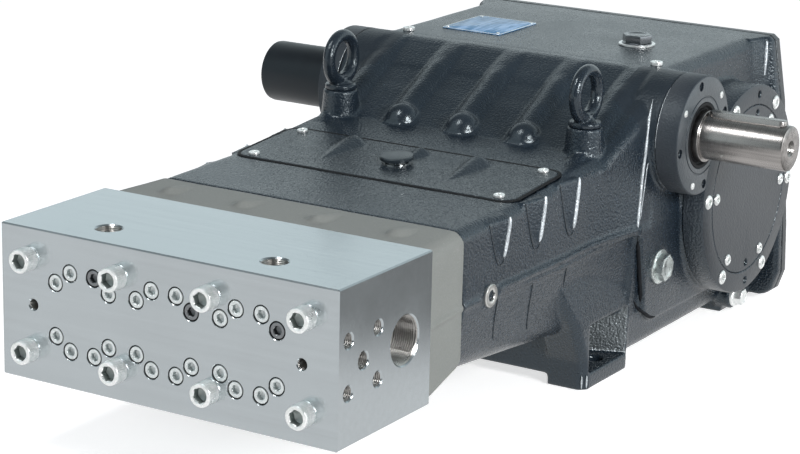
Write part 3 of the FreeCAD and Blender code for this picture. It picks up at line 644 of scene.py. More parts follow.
@dataclass(frozen=True)
class Finish:
    """One surface finish: its colour, gloss and grain, and the record's slot that it stands for.

    The spread is how far the colour strays, the bump how strong the grain is, and the centre the axis that
    turned rings run about, in metres.
    """

    name: str
    slot: str
    colour: Colour
    metallic: float
    roughness: float
    grain: Grain
    spread: float = 0.08
    bump: float = 0.3
    centre: Point = ORIGIN
    gloss: float = 0.65

    def material(self) -> bpy.types.Material:
        """Return the finish's material, built the first time it is asked for."""
        if self.name in bpy.data.materials:
            return bpy.data.materials[self.name]
        material = bpy.data.materials.new(self.name)
        graph = Graph.of(material)
        recipe = {Grain.CAST: self.cast, Grain.GROUND: self.ground, Grain.TURNED: self.turned,
                  Grain.PLATED: self.plated, Grain.MOULDED: self.moulded, Grain.SHEET: self.sheet}[self.grain]
        colour, roughness, height = recipe(graph)
        inputs = {"Base Color": colour, "Metallic": self.metallic, "Roughness": roughness,
                  "Normal": graph.bump(height, self.bump, RELIEF[self.grain])}
        if not self.metallic:
            inputs.update({"Specular Tint": PAINT_SHEEN, "Specular IOR Level": self.gloss})
        shader = graph.add("ShaderNodeBsdfPrincipled", inputs)
        graph.add("ShaderNodeOutputMaterial", {"Surface": shader.outputs["BSDF"]})
        return material

    def tones(self, graph: Graph, value: Socket, start: float = 0.3, end: float = 0.7,
              light: float = 1.0) -> Socket:
        """Return the colour, darker where a value is low and lighter where it is high, by the spread."""
        return graph.blend(graph.ranged(value, 0.0, 1.0, start, end), shade(self.colour, 1.0 - self.spread),
                           shade(self.colour, 1.0 + light * self.spread))

    def dullness(self, graph: Graph, value: Socket, more: float, start: float = 0.5,
                 end: float = 1.0) -> Socket:
        """Return a roughness that follows a value, from just under the finish's own to more above it."""
        return graph.ranged(value, self.roughness - 0.05, self.roughness + more, start, end)

    def wear_and_highlight(self, graph: Graph, colour: Socket, amount: float) -> Socket:
        """Return a colour that is lighter on convex edges, by an amount: partly rubbed paint, partly painted
        highlight.
        """
        edge = graph.add("ShaderNodeNewGeometry").outputs["Pointiness"]
        rubbed_and_highlit = shade(tuple(c * 0.6 + 0.05 for c in self.colour), 2.2)
        return graph.blend(graph.ranged(edge, 0.0, amount, 0.53, 0.62), colour, rubbed_and_highlit)

    def cast(self, graph: Graph) -> Recipe:
        """Return colour, roughness and height of paint on a casting: pebbled, dusty, lighter at its edges
        from wear and painted highlight.
        """
        pebble = graph.noise(430.0, 0.8, 0.4)
        lumps = graph.noise(120.0, 2.0)
        cloud = graph.noise(11.0, 5.0, 0.6)
        fleck = graph.noise(900.0, 2.0, 0.7)
        dusty = graph.blend(graph.ranged(fleck, 0.0, 0.35, 0.56, 0.72), self.tones(graph, cloud),
                            shade(self.colour, 1.9))
        rough = self.dullness(graph, graph.total(cloud, pebble, 0.6), 0.08, 0.5, 1.1)
        # convex edges lighter: partly worn paint, partly painted highlight
        return self.wear_and_highlight(graph, dusty, 0.35), rough, graph.total(pebble, lumps, 0.15)

    def ground(self, graph: Graph) -> Recipe:
        """Return colour, roughness and height of ground steel: fine lines along X, clouds and scratches."""
        lines = graph.noise(1.0, 3.0, 0.6, graph.mapped((14.0, 1700.0, 1700.0)))
        cloud = graph.noise(6.0, 4.0, 0.6)
        streak = graph.noise(1.0, 2.0, 0.5, graph.mapped((5.0, 160.0, 160.0)))
        scratch = graph.noise(1.0, 1.0, 0.4, graph.mapped((60.0, 900.0, 40.0)))
        colour = self.tones(graph, graph.total(cloud, streak, 0.5), 0.5, 1.0)
        rough = self.dullness(graph, graph.total(cloud, lines, 0.5), 0.07)
        return colour, rough, graph.total(lines, graph.ranged(scratch, 0.0, 1.0, 0.7, 0.74), -0.8)

    def turned(self, graph: Graph) -> Recipe:
        """Return colour, roughness and height of turned steel: painted reflection streaks along the axis in
        its colour, and a noise over (x, distance from the axis).
        """
        place = graph.mapped((1.0, 1.0, 1.0), self.centre)
        split = graph.add("ShaderNodeSeparateXYZ", {0: place}).outputs
        flat = graph.add("ShaderNodeCombineXYZ", {"Y": split["Y"], "Z": split["Z"]}).outputs[0]
        both = graph.add("ShaderNodeCombineXYZ", {"X": split["X"], "Y": graph.distance(flat)})
        rings = graph.noise(2600.0, 2.0, 0.6, both.outputs[0])
        cloud = graph.noise(30.0, 3.0)
        # painted reflection: light and dark streaks along the shaft's axis
        reflection_streaks = graph.noise(1.0, 2.0, 0.6, graph.mapped((3.0, 150.0, 150.0)))
        colour = self.tones(graph, graph.total(reflection_streaks, cloud, 0.3), 0.5, 0.8)
        return colour, self.dullness(graph, graph.total(rings, cloud, 0.5), 0.08), rings

    def plated(self, graph: Graph) -> Recipe:
        """Return colour, roughness and height of bright plating: faintly mottled, with painted shade in its
        hollows.
        """
        mottle = graph.noise(260.0, 3.0)
        cloud = graph.noise(60.0, 2.0)
        hollow_shade = graph.add("ShaderNodeNewGeometry").outputs["Pointiness"]
        # painted shade: darker where the surface is hollow
        colour = graph.blend(graph.ranged(hollow_shade, 0.45, 0.0, 0.40, 0.49), self.tones(graph, mottle),
                             shade(self.colour, 0.35))
        rough = self.dullness(graph, graph.total(cloud, mottle, 0.5), 0.1)
        return colour, rough, graph.noise(900.0, 2.0)

    def moulded(self, graph: Graph) -> Recipe:
        """Return colour, roughness and height of moulded plastic or rubber: finely pitted, softly clouded."""
        cloud = graph.noise(25.0, 4.0)
        # edges a little lighter: partly worn, partly painted highlight
        colour = self.wear_and_highlight(graph, self.tones(graph, cloud, light=2.0), 0.06)
        return colour, self.dullness(graph, cloud, 0.1, 0.3, 0.7), graph.noise(1400.0, 2.0)

    def sheet(self, graph: Graph) -> Recipe:
        """Return colour, roughness and height of coated sheet: faint streaks and a print grain, no words."""
        streak = graph.noise(1.0, 3.0, 0.6, graph.mapped((220.0, 30.0, 30.0)))
        cloud = graph.noise(40.0, 3.0)
        mask = graph.ranged(graph.total(streak, cloud, 0.4), 0.0, 1.0, 0.62, 0.8)
        light = [c + self.spread for c in self.colour]
        colour = graph.blend(mask, shade(self.colour, 1.0 - self.spread), light)
        rough = graph.ranged(cloud, self.roughness - 0.06, self.roughness + 0.08)
        return colour, rough, graph.noise(500.0, 2.0)


def black_paint(name: str, colour: Colour, roughness: float, bump: float, spread: float = 0.15,
                metallic: float = 0.0, gloss: float = 0.65) -> Finish:
    """Return one state of the pump's black paint: fresh, dull, rubbed smooth, lightened as painted highlight,
    darkened as painted shadow.
    """
    return Finish(name, "black_paint", colour, metallic, roughness, Grain.CAST, spread, bump, gloss=gloss)


BLACK_PAINT = black_paint("black_casting_paint", (0.011, 0.018, 0.027), 0.26, 0.42)
HATCH_PAINT = black_paint("black_hatch_paint", (0.016, 0.023, 0.031), 0.26, 0.42)
SMOOTH_PAINT = black_paint("black_rubbed_paint", (0.013, 0.020, 0.029), 0.25, 0.16)
TUBE_PAINT = black_paint("dull_tube_paint", (0.013, 0.019, 0.027), 0.42, 0.3, gloss=0.4)
# painted sheen: the covers' flat outer faces are painted lighter than the covers' sides
BEARING_FACE = black_paint("bearing_face_paint", (0.055, 0.064, 0.072), 0.36, 0.2)
CRANK_FACE = black_paint("crank_face_paint", (0.020, 0.024, 0.030), 0.36, 0.2)
BLACK_COVER = black_paint("black_cover_paint", (0.012, 0.015, 0.019), 0.36, 0.25)
BLACK_STEEL = black_paint("blackened_steel", (0.012, 0.018, 0.026), 0.2, 0.22)
# painted highlight: light paint for the beads on crests and edges that catch the light
HIGHLIGHT_PAINT = black_paint("painted_highlight_paint", (0.50, 0.54, 0.57), 0.36, 0.6, 0.25, 0.5)
# painted highlight: the pockets' black walls painted light grey, as if lit
POCKET_HIGHLIGHT_PAINT = black_paint("pocket_highlight_paint", (0.16, 0.18, 0.19), 0.34, 1.0, 0.3, 0.5)
# painted shadow: near black paint for lines where shade falls
SHADOW_PAINT = black_paint("painted_shadow_paint", (0.004, 0.005, 0.007), 0.7, 0.2, gloss=0.1)
GREY_CASTING = Finish("grey_casting_paint", "grey_casting", (0.185, 0.192, 0.180), 0.0, 0.6,
                      Grain.CAST, 0.05, 0.12)

GROUND_STEEL = Finish("ground_steel", "machined_steel", (0.465, 0.505, 0.525), 1.0, 0.2,
                      Grain.GROUND, 0.05, 0.2)
SHAFT_STEEL = Finish("turned_shaft_steel", "shaft_steel", (0.325, 0.31, 0.30), 1.0, 0.27,
                     Grain.TURNED, 0.24, 0.3, (0.0, SHAFT_LINE[0] * MM, SHAFT_LINE[1] * MM))
# darker, warmer steel inside the bores and the shaft's threaded centre
BORE_STEEL = Finish("darker_bore_steel", "machined_steel", (0.38, 0.37, 0.355), 1.0, 0.3,
                    Grain.PLATED, 0.15, 0.3)
FLUSH_SCREWS = Finish("flush_screw_steel", "screw_steel", (0.72, 0.76, 0.76), 0.8, 0.34,
                      Grain.PLATED, 0.1, 0.3)
OILED_SCREWS = Finish("oiled_screw_steel", "screw_steel", (0.22, 0.23, 0.24), 1.0, 0.34,
                      Grain.PLATED, 0.15, 0.3)
STAINLESS = Finish("stainless_plug", "screw_steel", (0.62, 0.62, 0.60), 1.0, 0.3,
                   Grain.PLATED, 0.08, 0.3)
ZINC = Finish("bright_zinc", "zinc", (0.90, 0.95, 0.93), 0.75, 0.31, Grain.PLATED, 0.12, 0.5)
PLUG_ZINC = Finish("dull_zinc_plug", "zinc", (0.60, 0.65, 0.64), 0.85, 0.26, Grain.PLATED, 0.3, 0.5)
# painted shade: darker zinc inside the screws' sockets
SOCKET_SHADE_ZINC = Finish("zinc_socket_painted_shade", "zinc", (0.40, 0.44, 0.43), 0.75, 0.36,
                     Grain.PLATED, 0.12, 0.4)
CHROME = Finish("chromed_steel", "zinc", (0.72, 0.74, 0.75), 1.0, 0.1, Grain.PLATED, 0.05, 0.2)
# painted reflection: chrome made dark as if mirroring dark surroundings
CHROME_DARK_REFLECTION = Finish("chrome_painted_dark_reflection", "zinc", (0.13, 0.14, 0.15), 1.0, 0.16, Grain.PLATED, 0.1, 0.3)

KNOB_CAP = Finish("black_knob_cap", "black_plastic", (0.015, 0.021, 0.027), 0.0, 0.27,
                  Grain.MOULDED, 0.1, 0.3)
BLACK_PLASTIC = Finish("black_moulded_cap", "black_plastic", (0.009, 0.012, 0.016), 0.0, 0.36,
                       Grain.MOULDED, 0.1, 0.2, gloss=0.35)
SEAL_RUBBER = Finish("black_seal_rubber", "seal_rubber", (0.007, 0.007, 0.008), 0.0, 0.55,
                     Grain.MOULDED, 0.1, 0.3, gloss=0.2)
BLUE_PLATE = Finish("blue_name_plate", "blue_plate", (0.07, 0.25, 0.50), 0.0, 0.32,
                    Grain.SHEET, 0.2, 0.1)


@dataclass
class SubAssembly:
    """A group of pieces that is built together; it keeps count of what it made."""

    pieces: List[str] = field(default_factory=list)

    def finish_piece(self, item: Item, finish: Finish, nodes: Sequence[str], body: str = "pump",
                     angle: float = SHARP_ANGLE) -> Item:
        """Dress a piece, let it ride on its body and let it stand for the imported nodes.

        Args:
            item: the piece.
            finish: what it is dressed in.
            nodes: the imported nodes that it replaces.
            body: the body that it moves with.
            angle: edges sharper than this stay sharp, in degrees.

        Returns:
            The piece.
        """
        mesh = item.data
        mesh.materials.clear()
        mesh.materials.append(finish.material())
        mesh.shade_smooth()
        mesh.set_sharp_from_angle(angle=math.radians(angle))
        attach(item, body)
        if nodes:
            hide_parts(*nodes)
        self.pieces.append(item.name)
        return item

    def piece(self, name: str, shells: Sequence[Shell], finish: Finish, nodes: Sequence[str] = (),
              body: str = "pump", angle: float = SHARP_ANGLE) -> Item:
        """Make a piece of shells and dress it, as finish_piece does."""
        return self.finish_piece(as_object(name, joined(list(shells))), finish, nodes, body, angle)

    def dressed(self, item: Item, finish: Finish, chosen: Callable) -> None:
        """Dress some faces of a piece in one more finish.

        Args:
            item: the piece.
            finish: the finish of those faces.
            chosen: takes the faces' middles, in millimetres, and normals as whole arrays, and returns a mask.
        """
        mesh = item.data
        mesh.materials.append(finish.material())
        indices = values(mesh.polygons, "material_index", 1, np.int32)[:, 0]
        mask = chosen(values(mesh.polygons, "center") / MM, values(mesh.polygons, "normal"))
        indices[mask] = len(mesh.materials) - 1
        mesh.polygons.foreach_set("material_index", indices)

    def report(self) -> None:
        """Log the pieces of this group."""
        for name in self.pieces:
            LOG.info("%s: %s", type(self).__name__, name)


def bead(x: object, y: object, z: object, radius: object, around: int = 12) -> Shell:
    """Return a round bead along the points (x, y, z), each a number or an array, as the radius is."""
    path = np.stack(np.broadcast_arrays(x, y, z), -1)
    return swept(path, np.broadcast_to(radius, len(path)), around)


def tapered(k: Array, tip: float) -> Array:
    """Return how thick a line is along itself: sqrt(sin(pi (tip + (1 - 2 tip) k)))."""
    return np.sqrt(np.sin(math.pi * (tip + (1.0 - 2.0 * tip) * k)))


@dataclass(frozen=True)
class SocketScrew:
    """The sizes of a socket head: a drum, knurled or round, with a hexagon socket sunk in its top."""

    radius: float
    height: float
    across: float
    depth: float
    around: int = 144
    form: Form = Form.KNURLED

    def head(self, centre: Vec, direction: Vec, turn: float = 0.0) -> Shell:
        """Return the head, a turned profile of seat, drum, rounded rim and socket.

        Args:
            centre: the middle of its seat.
            direction: out of the seat.
            turn: the angle of the socket, in degrees.

        Returns:
            The shell.
        """
        radius, height, across = self.radius, self.height, self.across
        rim, floor = 0.09 * radius, height - self.depth
        seat = [(0, 0), (radius * 0.94, 0), (radius * 0.97, height * 0.03), (radius * 0.985, height * 0.1)]
        drum = [(radius, height * 0.13, self.form), (radius, height * 0.78, self.form),
                (radius * 0.985, height * 0.8), (radius * 0.985, height - rim)]
        top = [(radius * 0.96, height - rim * 0.35), (radius * 0.91, height), (across * 1.22, height),
               (across * 1.13, height - 0.25)]
        socket = [(across, height - rim, Form.HEXAGON), (across, floor, Form.HEXAGON),
                  (across * 0.5, floor - across * 0.25), (0, floor)]
        return turned(seat + drum + top + socket, centre, direction, self.around, turn)


@dataclass(frozen=True)
class HexHead:
    """A hexagon head whose top corners are turned off, with a round dished crown."""

    across: float
    start: float
    end: float
    turn: float

    def shell(self, centre: Vec, direction: Vec) -> Shell:
        """Return the head, standing on a centre and along a direction."""
        across, end, dish, hexagon = self.across, self.end, self.end - 0.5, Form.HEXAGON
        profile = [(0, self.start), (across, self.start, hexagon), (across, end - 1.6, hexagon),
                   (across * 0.985, dish, hexagon), (across * 0.95, end), (across * 0.72, end),
                   (across * 0.66, dish), (0, dish)]
        return turned(profile, centre, direction, 72, self.turn)


@dataclass
class ValveHead(SubAssembly):
    """The steel head block with its ports, its flush screws and the eight large cap screws."""

    half: float = 195.0
    front: float = -721.0
    depth: float = 162.0
    base: float = 83.0
    height: float = 154.0
    edge: float = 1.4
    bore_rim: float = 1.6

    cap_screw: SocketScrew = SocketScrew(12.0, 16.0, 7.0, 8.0)
    screw_pitch: float = 107.0
    screw_rise: float = 46.0
    screw_steps: Tuple[float, ...] = (-1.5, -0.5, 0.5, 1.5)
    socket_reach: float = 8.3
    socket_front: float = 14.9

    flush_screw: SocketScrew = SocketScrew(8.0, 10.0, 4.0, 5.0, 96, Form.ROUND)
    valve_pitch: float = 96.6
    valve_ring: float = 41.6
    seat_depth: float = 10.4
    columns: Tuple[Tuple[int, str], ...] = ((-1, "left"), (0, "centre"), (1, "right"))
    angles: Tuple[float, ...] = (40.0, 70.0, 110.0, 140.0, 220.0, 250.0, 290.0, 320.0)
    oiled: Tuple[Tuple[int, int], ...] = ((-1, 1), (0, 0), (1, 0))

    suction: Tap = Tap(24.6, 58.0, 2.31, 1.9, 1.2, 96)
    suction_back: float = 114.4
    outlet: Tap = Tap(8.6, 22.0, 2.0, 0.7, 0.9, 48)
    outlet_back: float = 42.5
    flange_hole: Tap = Tap(7.6, 29.0, 2.0, 0.9)
    flange_corners: Tuple[Pair, ...] = ((-25.0, -25.0), (-25.0, 25.0), (25.0, -25.0), (25.0, 25.0))
    top_port: Tap = Tap(13.4, 27.0, 1.81, 0.9)
    top_side: float = 96.4
    jack_hole: Tap = Tap(5.6, 23.0, 1.75, 0.7, 0.6)
    jack_side: float = 155.8

    def middle(self) -> float:
        """Return the height of the block's middle."""
        return self.base + self.height / 2

    def screw_places(self, column: int) -> Array:
        """Return the (x, z) of the flush screws round one valve: middle + ring (cos, sin)."""
        turn = np.radians(np.array(self.angles))
        return np.stack([column * self.valve_pitch + self.valve_ring * np.cos(turn),
                         self.middle() + self.valve_ring * np.sin(turn)], -1)

    def seats(self) -> List[Shell]:
        """Return what cuts the flush screws' seats, each with a chamfered mouth."""
        seat = [(0, 0.8), (10.3, 0.8), (9.0, -0.5), (9.0, -self.seat_depth), (0, -self.seat_depth)]
        return [turned(seat, (x, self.front, z), FORWARD, 48)
                for column, _ in self.columns for x, z in self.screw_places(column)]

    def ports(self, side: int) -> List[Shell]:
        """Return what cuts the tapped holes of one half of the block.

        Args:
            side: 1 for the drive side and -1 for the other.

        Returns:
            The cutters of the suction port, the outlet, its flange holes, the top port and the jack hole.
        """
        face, out, middle = side * self.half, (side, 0, 0), self.middle()
        outlet = self.front + self.outlet_back
        holes = [self.suction.cutter((face, self.front + self.suction_back, middle), out),
                 self.outlet.cutter((face, outlet, middle), out)]
        holes += [self.flange_hole.cutter((face, outlet + along, middle + rise), out)
                  for along, rise in self.flange_corners]
        holes.append(self.top_port.cutter((side * self.top_side, outlet, self.base + self.height), UPWARD))
        holes.append(self.jack_hole.cutter((side * self.jack_side, self.front, middle), FORWARD))
        return holes

    def inside(self, middles: Array, normals: Array) -> Array:
        """Return which faces lie in a bore: further than its rim under each side of the block."""
        low = np.array([-self.half, self.front, self.base]) + self.bore_rim
        high = np.array([self.half, self.front + self.depth, self.base + self.height]) - self.bore_rim
        return ((middles > low) & (middles < high)).all(axis=1)

    def in_sockets(self, middles: Array, normals: Array) -> Array:
        """Return which faces lie in a cap screw's socket, which get painted shade: near a screw's axis, and
        under its rim.
        """
        step = middles[:, 0] / self.screw_pitch - 0.5
        across = (step - np.round(step)) * self.screw_pitch
        up = np.abs(np.abs(middles[:, 2] - self.middle()) - self.screw_rise)
        return (np.hypot(across, up) < self.socket_reach) & (middles[:, 1] > self.front - self.socket_front)

    def build_block(self) -> None:
        """Build the block and cut its seats and ports."""
        outline = plate(self.half, self.height / 2, self.edge, 2)
        e = self.edge
        steps = [(e, 0.0), (0.0, e), (0.0, self.depth - e), (e, self.depth)]
        block = as_object("head_block", slab(outline, steps, (0.0, self.front, self.middle()), STANDING))
        carved(block, joined(self.seats() + self.ports(-1) + self.ports(1)))
        self.finish_piece(block, GROUND_STEEL, ["valve_head"], angle=28.0)
        self.dressed(block, BORE_STEEL, self.inside)

    def build_cap_screws(self) -> None:
        """Build both rows of cap screws, each screw with its socket at another angle."""
        for label, side in (("upper", 1), ("lower", -1)):
            height = self.middle() + side * self.screw_rise
            shells = [self.cap_screw.head((step * self.screw_pitch, self.front, height), FORWARD,
                                          17.0 * k + 9.0 * side) for k, step in enumerate(self.screw_steps)]
            screws = self.piece("head_cap_screws_" + label, shells, ZINC, ["head_screws_" + label])
            # painted shade in the sockets
            self.dressed(screws, SOCKET_SHADE_ZINC, self.in_sockets)

    def build_flush_screws(self) -> None:
        """Build the flush screws of each valve; those that are oiled get a dark finish."""
        for column, label in self.columns:
            shells, oiled = [], []
            for k, (x, z) in enumerate(self.screw_places(column)):
                head = self.flush_screw.head((x, self.front + self.seat_depth, z), FORWARD, 13.0 * k)
                (oiled if (column, k) in self.oiled else shells).append(head)
            self.piece("flush_screws_" + label, shells, FLUSH_SCREWS, ["valve_screws_" + label])
            self.piece("oiled_flush_screw_" + label, oiled, OILED_SCREWS)

    def build(self) -> None:
        """Build the block and its screws."""
        self.build_block()
        self.build_cap_screws()
        self.build_flush_screws()


@dataclass
class Spacer(SubAssembly):
    """The grey casting between the head and the crankcase, with four raised drops on top."""

    start: float = -559.0
    length: float = 76.0
    top: float = 235.0
    halves: Pair = (192.0, 185.0)
    ridge_height: float = 158.5
    ridge_radius: float = 2.6
    drops: Tuple[float, ...] = (-135.0, -45.0, 45.0, 135.0)
    drop_start: float = 18.0
    drop_length: float = 46.0
    drop_half: float = 13.0
    drop_rise: float = 7.5
    drop_widest: float = 0.28

    def drop(self, x: float) -> Shell:
        """Return one drop: a round front that fades into the surface towards the rear.

        Its half width is a part of an ellipse with its widest place near the front, and its height is
        sin(90 degrees s / 0.3) (1.15 - s)^1.2, held within 0 and 1, times its rise.

        Args:
            x: where its middle line lies.

        Returns:
            The shell.
        """
        def half(s: Array) -> Array:
            """Return the half width along the drop."""
            reach = np.where(s < self.drop_widest, self.drop_widest, 0.9)
            return self.drop_half * np.sqrt(np.clip(1.0 - ((s - self.drop_widest) / reach) ** 2, 0.0, 1.0))

        def rise(s: Array) -> Array:
            """Return the height along the drop."""
            swell = np.clip(np.sin(np.clip(s / 0.3, 0, 1) * math.pi / 2), 0, 1)
            return self.drop_rise * swell * np.clip(1.15 - s, 0, 1) ** 1.2

        return dome(self.drop_length, half, rise, (x, self.start + self.drop_start, self.top - 0.3), LYING)

    def build(self) -> None:
        """Build the casting with its drops and the fine ridge on each side."""
        shells = [cad_shell("spacer_housing")] + [self.drop(x) for x in self.drops]
        end = self.start + self.length
        for side in SIDES:
            y = np.linspace(self.start + 3.0, end, 30)
            x = side * np.interp(y, [self.start, end], self.halves)
            shells.append(bead(x, y, self.ridge_height, self.ridge_radius))
        item = softened("spacer_casting", shells, 2.0, 4, 90000, unevenness)
        self.finish_piece(item, GREY_CASTING, ["spacer_housing"])


@dataclass
class Crankcase(SubAssembly):
    """The black casting: deck, slope, ribs, crown, side panels, flanks and feet.

    The tables of half widths and front edges give heights in their first row and the sizes there in their
    second. The lists of painted highlights, dark lines and painted shadows fill up as the lines are laid out.
    """

    parting: float = 158.5
    wall: Table = ((62.0, 158.5, 250.5), (170.0, 186.0, 180.0))
    panel: Table = ((14.0, 158.5, 166.0, 223.5, 240.0, 280.0, 298.5, 321.0),
                    (194.0, 203.0, 200.5, 197.5, 197.0, 195.5, 193.5, 188.0))
    panel_edge: Table = ((60.0, 79.0, 152.0, 166.0, 223.5, 240.0, 280.0, 298.5, 321.0),
                         (-100.0, -107.0, -130.0, -137.0, -124.0, -119.0, -110.5, -99.2, -84.0))
    rear_flange: Table = ((243.0, 315.0, 319.0), (210.0, 198.0, 195.0))
    flank_front: float = -235.0

    slope_start: Pair = (-187.0, 250.5)
    slope_grade: float = 0.52
    slope_edge: float = 1.6
    crown: float = 321.0
    bend: Pair = (-62.0, -44.0)
    bend_size: float = 60.0

    rib_columns: Tuple[int, ...] = (-2, -1, 0, 1, 2)
    rib_spacing: float = 77.5
    rib_halves: Pair = (17.0, 12.0)
    bulb_centre: Pair = (-174.0, 252.5)
    bulb_radius: float = 19.5

    eye_foot: Point = (155.0, -182.0, 236.5)
    plug: Point = (184.0, -431.0, 158.5)
    tube_front: float = 206.2
    tube_radius: float = 66.8
    foot_corner: Pair = (182.0, -218.0)
    foot_radius: float = 7.6
    fin_rise: float = 5.5
    fins: Tuple[Tuple[float, float, float, float], ...] = (
        (-394.8, 231.7, -404.8, 191.6), (-321.3, 237.2, -331.2, 190.8), (-248.3, 241.4, -257.9, 188.7))
    hooks: Tuple[Pair, ...] = ((-404.0, 104.0), (-331.0, 96.0), (-258.0, 90.0))
    rear_corners: Tuple[Pair, ...] = ((208.0, 7.0), (217.0, 14.0), (224.5, 36.0), (222.5, 92.0),
                                      (211.0, 243.0), (199.0, 315.5), (192.0, 321.0))

    bright: List[Shell] = field(default_factory=list)
    dark: List[Shell] = field(default_factory=list)
    shaded: List[Shell] = field(default_factory=list)

    def upper_wall(self, z: Array) -> Array:
        """Return the half width of the crosshead part at a height."""
        return np.interp(z, *self.wall)

    def panel_half(self, z: Array) -> Array:
        """Return the half width of the raised side panels at a height."""
        return np.interp(z, *self.panel)

    def panel_front(self, z: Array) -> Array:
        """Return where a side panel's front edge lies at a height."""
        return np.interp(z, *self.panel_edge)

    def slope_line(self, y: Array) -> Array:
        """Return the slope's height: start + grade (y - start), bent over to the crown in a parabola."""
        line = self.slope_start[1] + self.slope_grade * (y - self.slope_start[0])
        over = self.crown - np.clip(self.bend[1] - y, 0.0, None) ** 2 / self.bend_size
        return np.where(y > self.bend[0], np.minimum(over, self.crown), line)

    def rib_rise(self, x: Array, y: Array) -> Array:
        """Return how far the ribs stand above the slope: the sum of rise (1 - (away / half)^2) over the ribs.

        The half width is larger on the left of a rib and grows by 3 away from the crown, where the rise
        goes from 1 to 10.

        Args:
            x: the places across.
            y: the places along, of the same shape.

        Returns:
            The heights.
        """
        total = np.zeros_like(x)
        fade = np.clip((-46.0 - y) / 55.0, 0.0, 1.0)
        for column in self.rib_columns:
            away = x - column * self.rib_spacing
            half = np.where(away < 0.0, *self.rib_halves) + 3.0 * fade
            total += np.clip(1.0 - (away / half) ** 2, 0.0, 1.0) * (1.0 + 9.0 * fade)
        return total

    def flank(self, y: Array, z: Array) -> Array:
        """Return the side wall's half width, which swells from the crosshead wall to the panel's front edge.

        half = wall (1 - t) + (panel - step) t with t = ((y - start) / (edge - start))^1.5; behind the edge
        it is the panel's own half width. The step is 0.6 above and 9 below the parting line.

        Args:
            y: the places along.
            z: the heights.

        Returns:
            The half widths.
        """
        front = self.panel_front(z)
        t = np.clip((y - self.flank_front) / (front - self.flank_front), 0.0, 1.0) ** 1.5
        step = np.interp(z, [152.0, 164.0], [9.0, 0.6])
        before = self.upper_wall(z) * (1.0 - t) + (self.panel_half(z) - step) * t
        return np.where(y >= front, self.panel_half(z) - 0.2, before)

    def ridges(self) -> List[Shell]:
        """Return the two fine parting beads on each side wall, which part slightly in the middle."""
        shells = []
        y = np.linspace(-416.0, -132.0, 80)
        for side in SIDES:
            for low, high, radius in ((-2.0, -7.5, 2.4), (3.6, 1.5, 3.0)):
                height = self.parting + np.interp(y, [-416, -285, -132], [low, high, low])
                shells.append(bead(side * (self.flank(y, height) + 0.4), y, height, radius, 16))
            shells.append(bead(side * 186.2, np.linspace(-483.0, -449.0, 12), self.parting, 2.6, 16))
        return shells

    def walled(self, out: Array, y: Array, z: Array, inner: float) -> List[Shell]:
        """Return a piece of wall on each side, with a shaped outer face and a flat inner one.

        Args:
            out: the outer face's half width on a grid.
            y: the grid's places along.
            z: its heights.
            inner: the inner face's half width.

        Returns:
            The shells of both sides.
        """
        shells = []
        for side in SIDES:
            outer = np.stack([side * out, y, z], -1)
            behind = np.stack([np.full_like(out, side * inner), y, z], -1)[:, ::-1]
            shells.append(skin(np.concatenate([outer, behind], axis=1)))
        return shells

    def swells(self) -> List[Shell]:
        """Return the soft swelling of each side wall up to the panel's front edge, as rings along Z.

        Each ring has a point just before and one just behind the edge, whose place depends on the height,
        so the grid is fitted to it in four rounds. The top edge is a quarter round.
        """
        start, end, split, gap = -240.0, -80.0, 34, 0.3
        k = np.linspace(0.0, 1.0, 90)[:, None]
        j = np.linspace(0.0, 1.0, 44)[None, :]
        z = 62.0 + 200.0 * k + 0.0 * j
        before, behind = j[:, :split], j[:, split:]
        for _ in range(4):
            front = self.panel_front(z)
            near = start + (front[:, :split] - gap - start) * before / before[0, -1]
            far = (front[:, split:] + gap
                   + (end - front[:, split:]) * (behind - behind[0, 0]) / (1.0 - behind[0, 0]))
            y = np.concatenate([near, far], axis=1)
            flat = np.interp(y, [start, self.slope_start[0]], [243.0, 248.0])
            top = np.where(y < self.slope_start[0], flat, self.slope_line(y) - 1.5)
            low = np.interp(y, [start, -131.0, -100.0], [66.0, 64.0, 60.0])
            z = low + (top - low) * k
        out = self.flank(y, z) - 0.2
        ease = np.clip((top - z) / 14.0, 0.0, 1.0)
        out = out - 12.0 * (1.0 - np.sqrt(1.0 - (1.0 - ease) ** 2))
        return self.walled(out, y, z, 150.0)

    def slope(self) -> Shell:
        """Return the body under the slope, as rectangles along Y whose top follows the slope and its ribs."""
        y = np.linspace(-194.0, -86.0, 75)[:, None]
        x = np.linspace(-1.0, 1.0, 241)[None, :]
        half = self.flank(y, self.slope_line(y) - 14.0) - 11.0
        across = x * half
        top = self.slope_line(y) - 0.3 + self.rib_rise(across, y + 0.0 * x)
        upper = np.stack([across, y + 0.0 * x, np.minimum(top, self.crown - 0.2)], -1)
        under = upper[:, ::-1].copy()
        under[..., 2] = 215.0
        return skin(np.concatenate([upper, under], axis=1))

    def bulbs(self) -> List[Shell]:
        """Return the round bulbs at the ribs' feet."""
        t = np.linspace(0.02, math.pi - 0.02, 24)
        ball = [(self.bulb_radius * math.sin(a), -self.bulb_radius * math.cos(a)) for a in t]
        profile = [(0, ball[0][1])] + ball + [(0, ball[-1][1])]
        return [turned(profile, (column * self.rib_spacing, *self.bulb_centre), UPWARD, 40)
                for column in self.rib_columns[1:-1]]

    def ceiling(self, points: Array) -> Array:
        """Return the highest z that the slope may have: line and ribs, given up towards the bearing tubes."""
        x, y = points[:, 0], points[:, 1]
        free = np.clip((np.abs(x) - 162.0) / 26.0, 0.0, 1.0) ** 2 * 30.0
        cap = self.slope_line(y) + self.rib_rise(x, y) + free + 0.4
        return np.where((y > -138.0) & (y < -40.0), cap, 400.0)

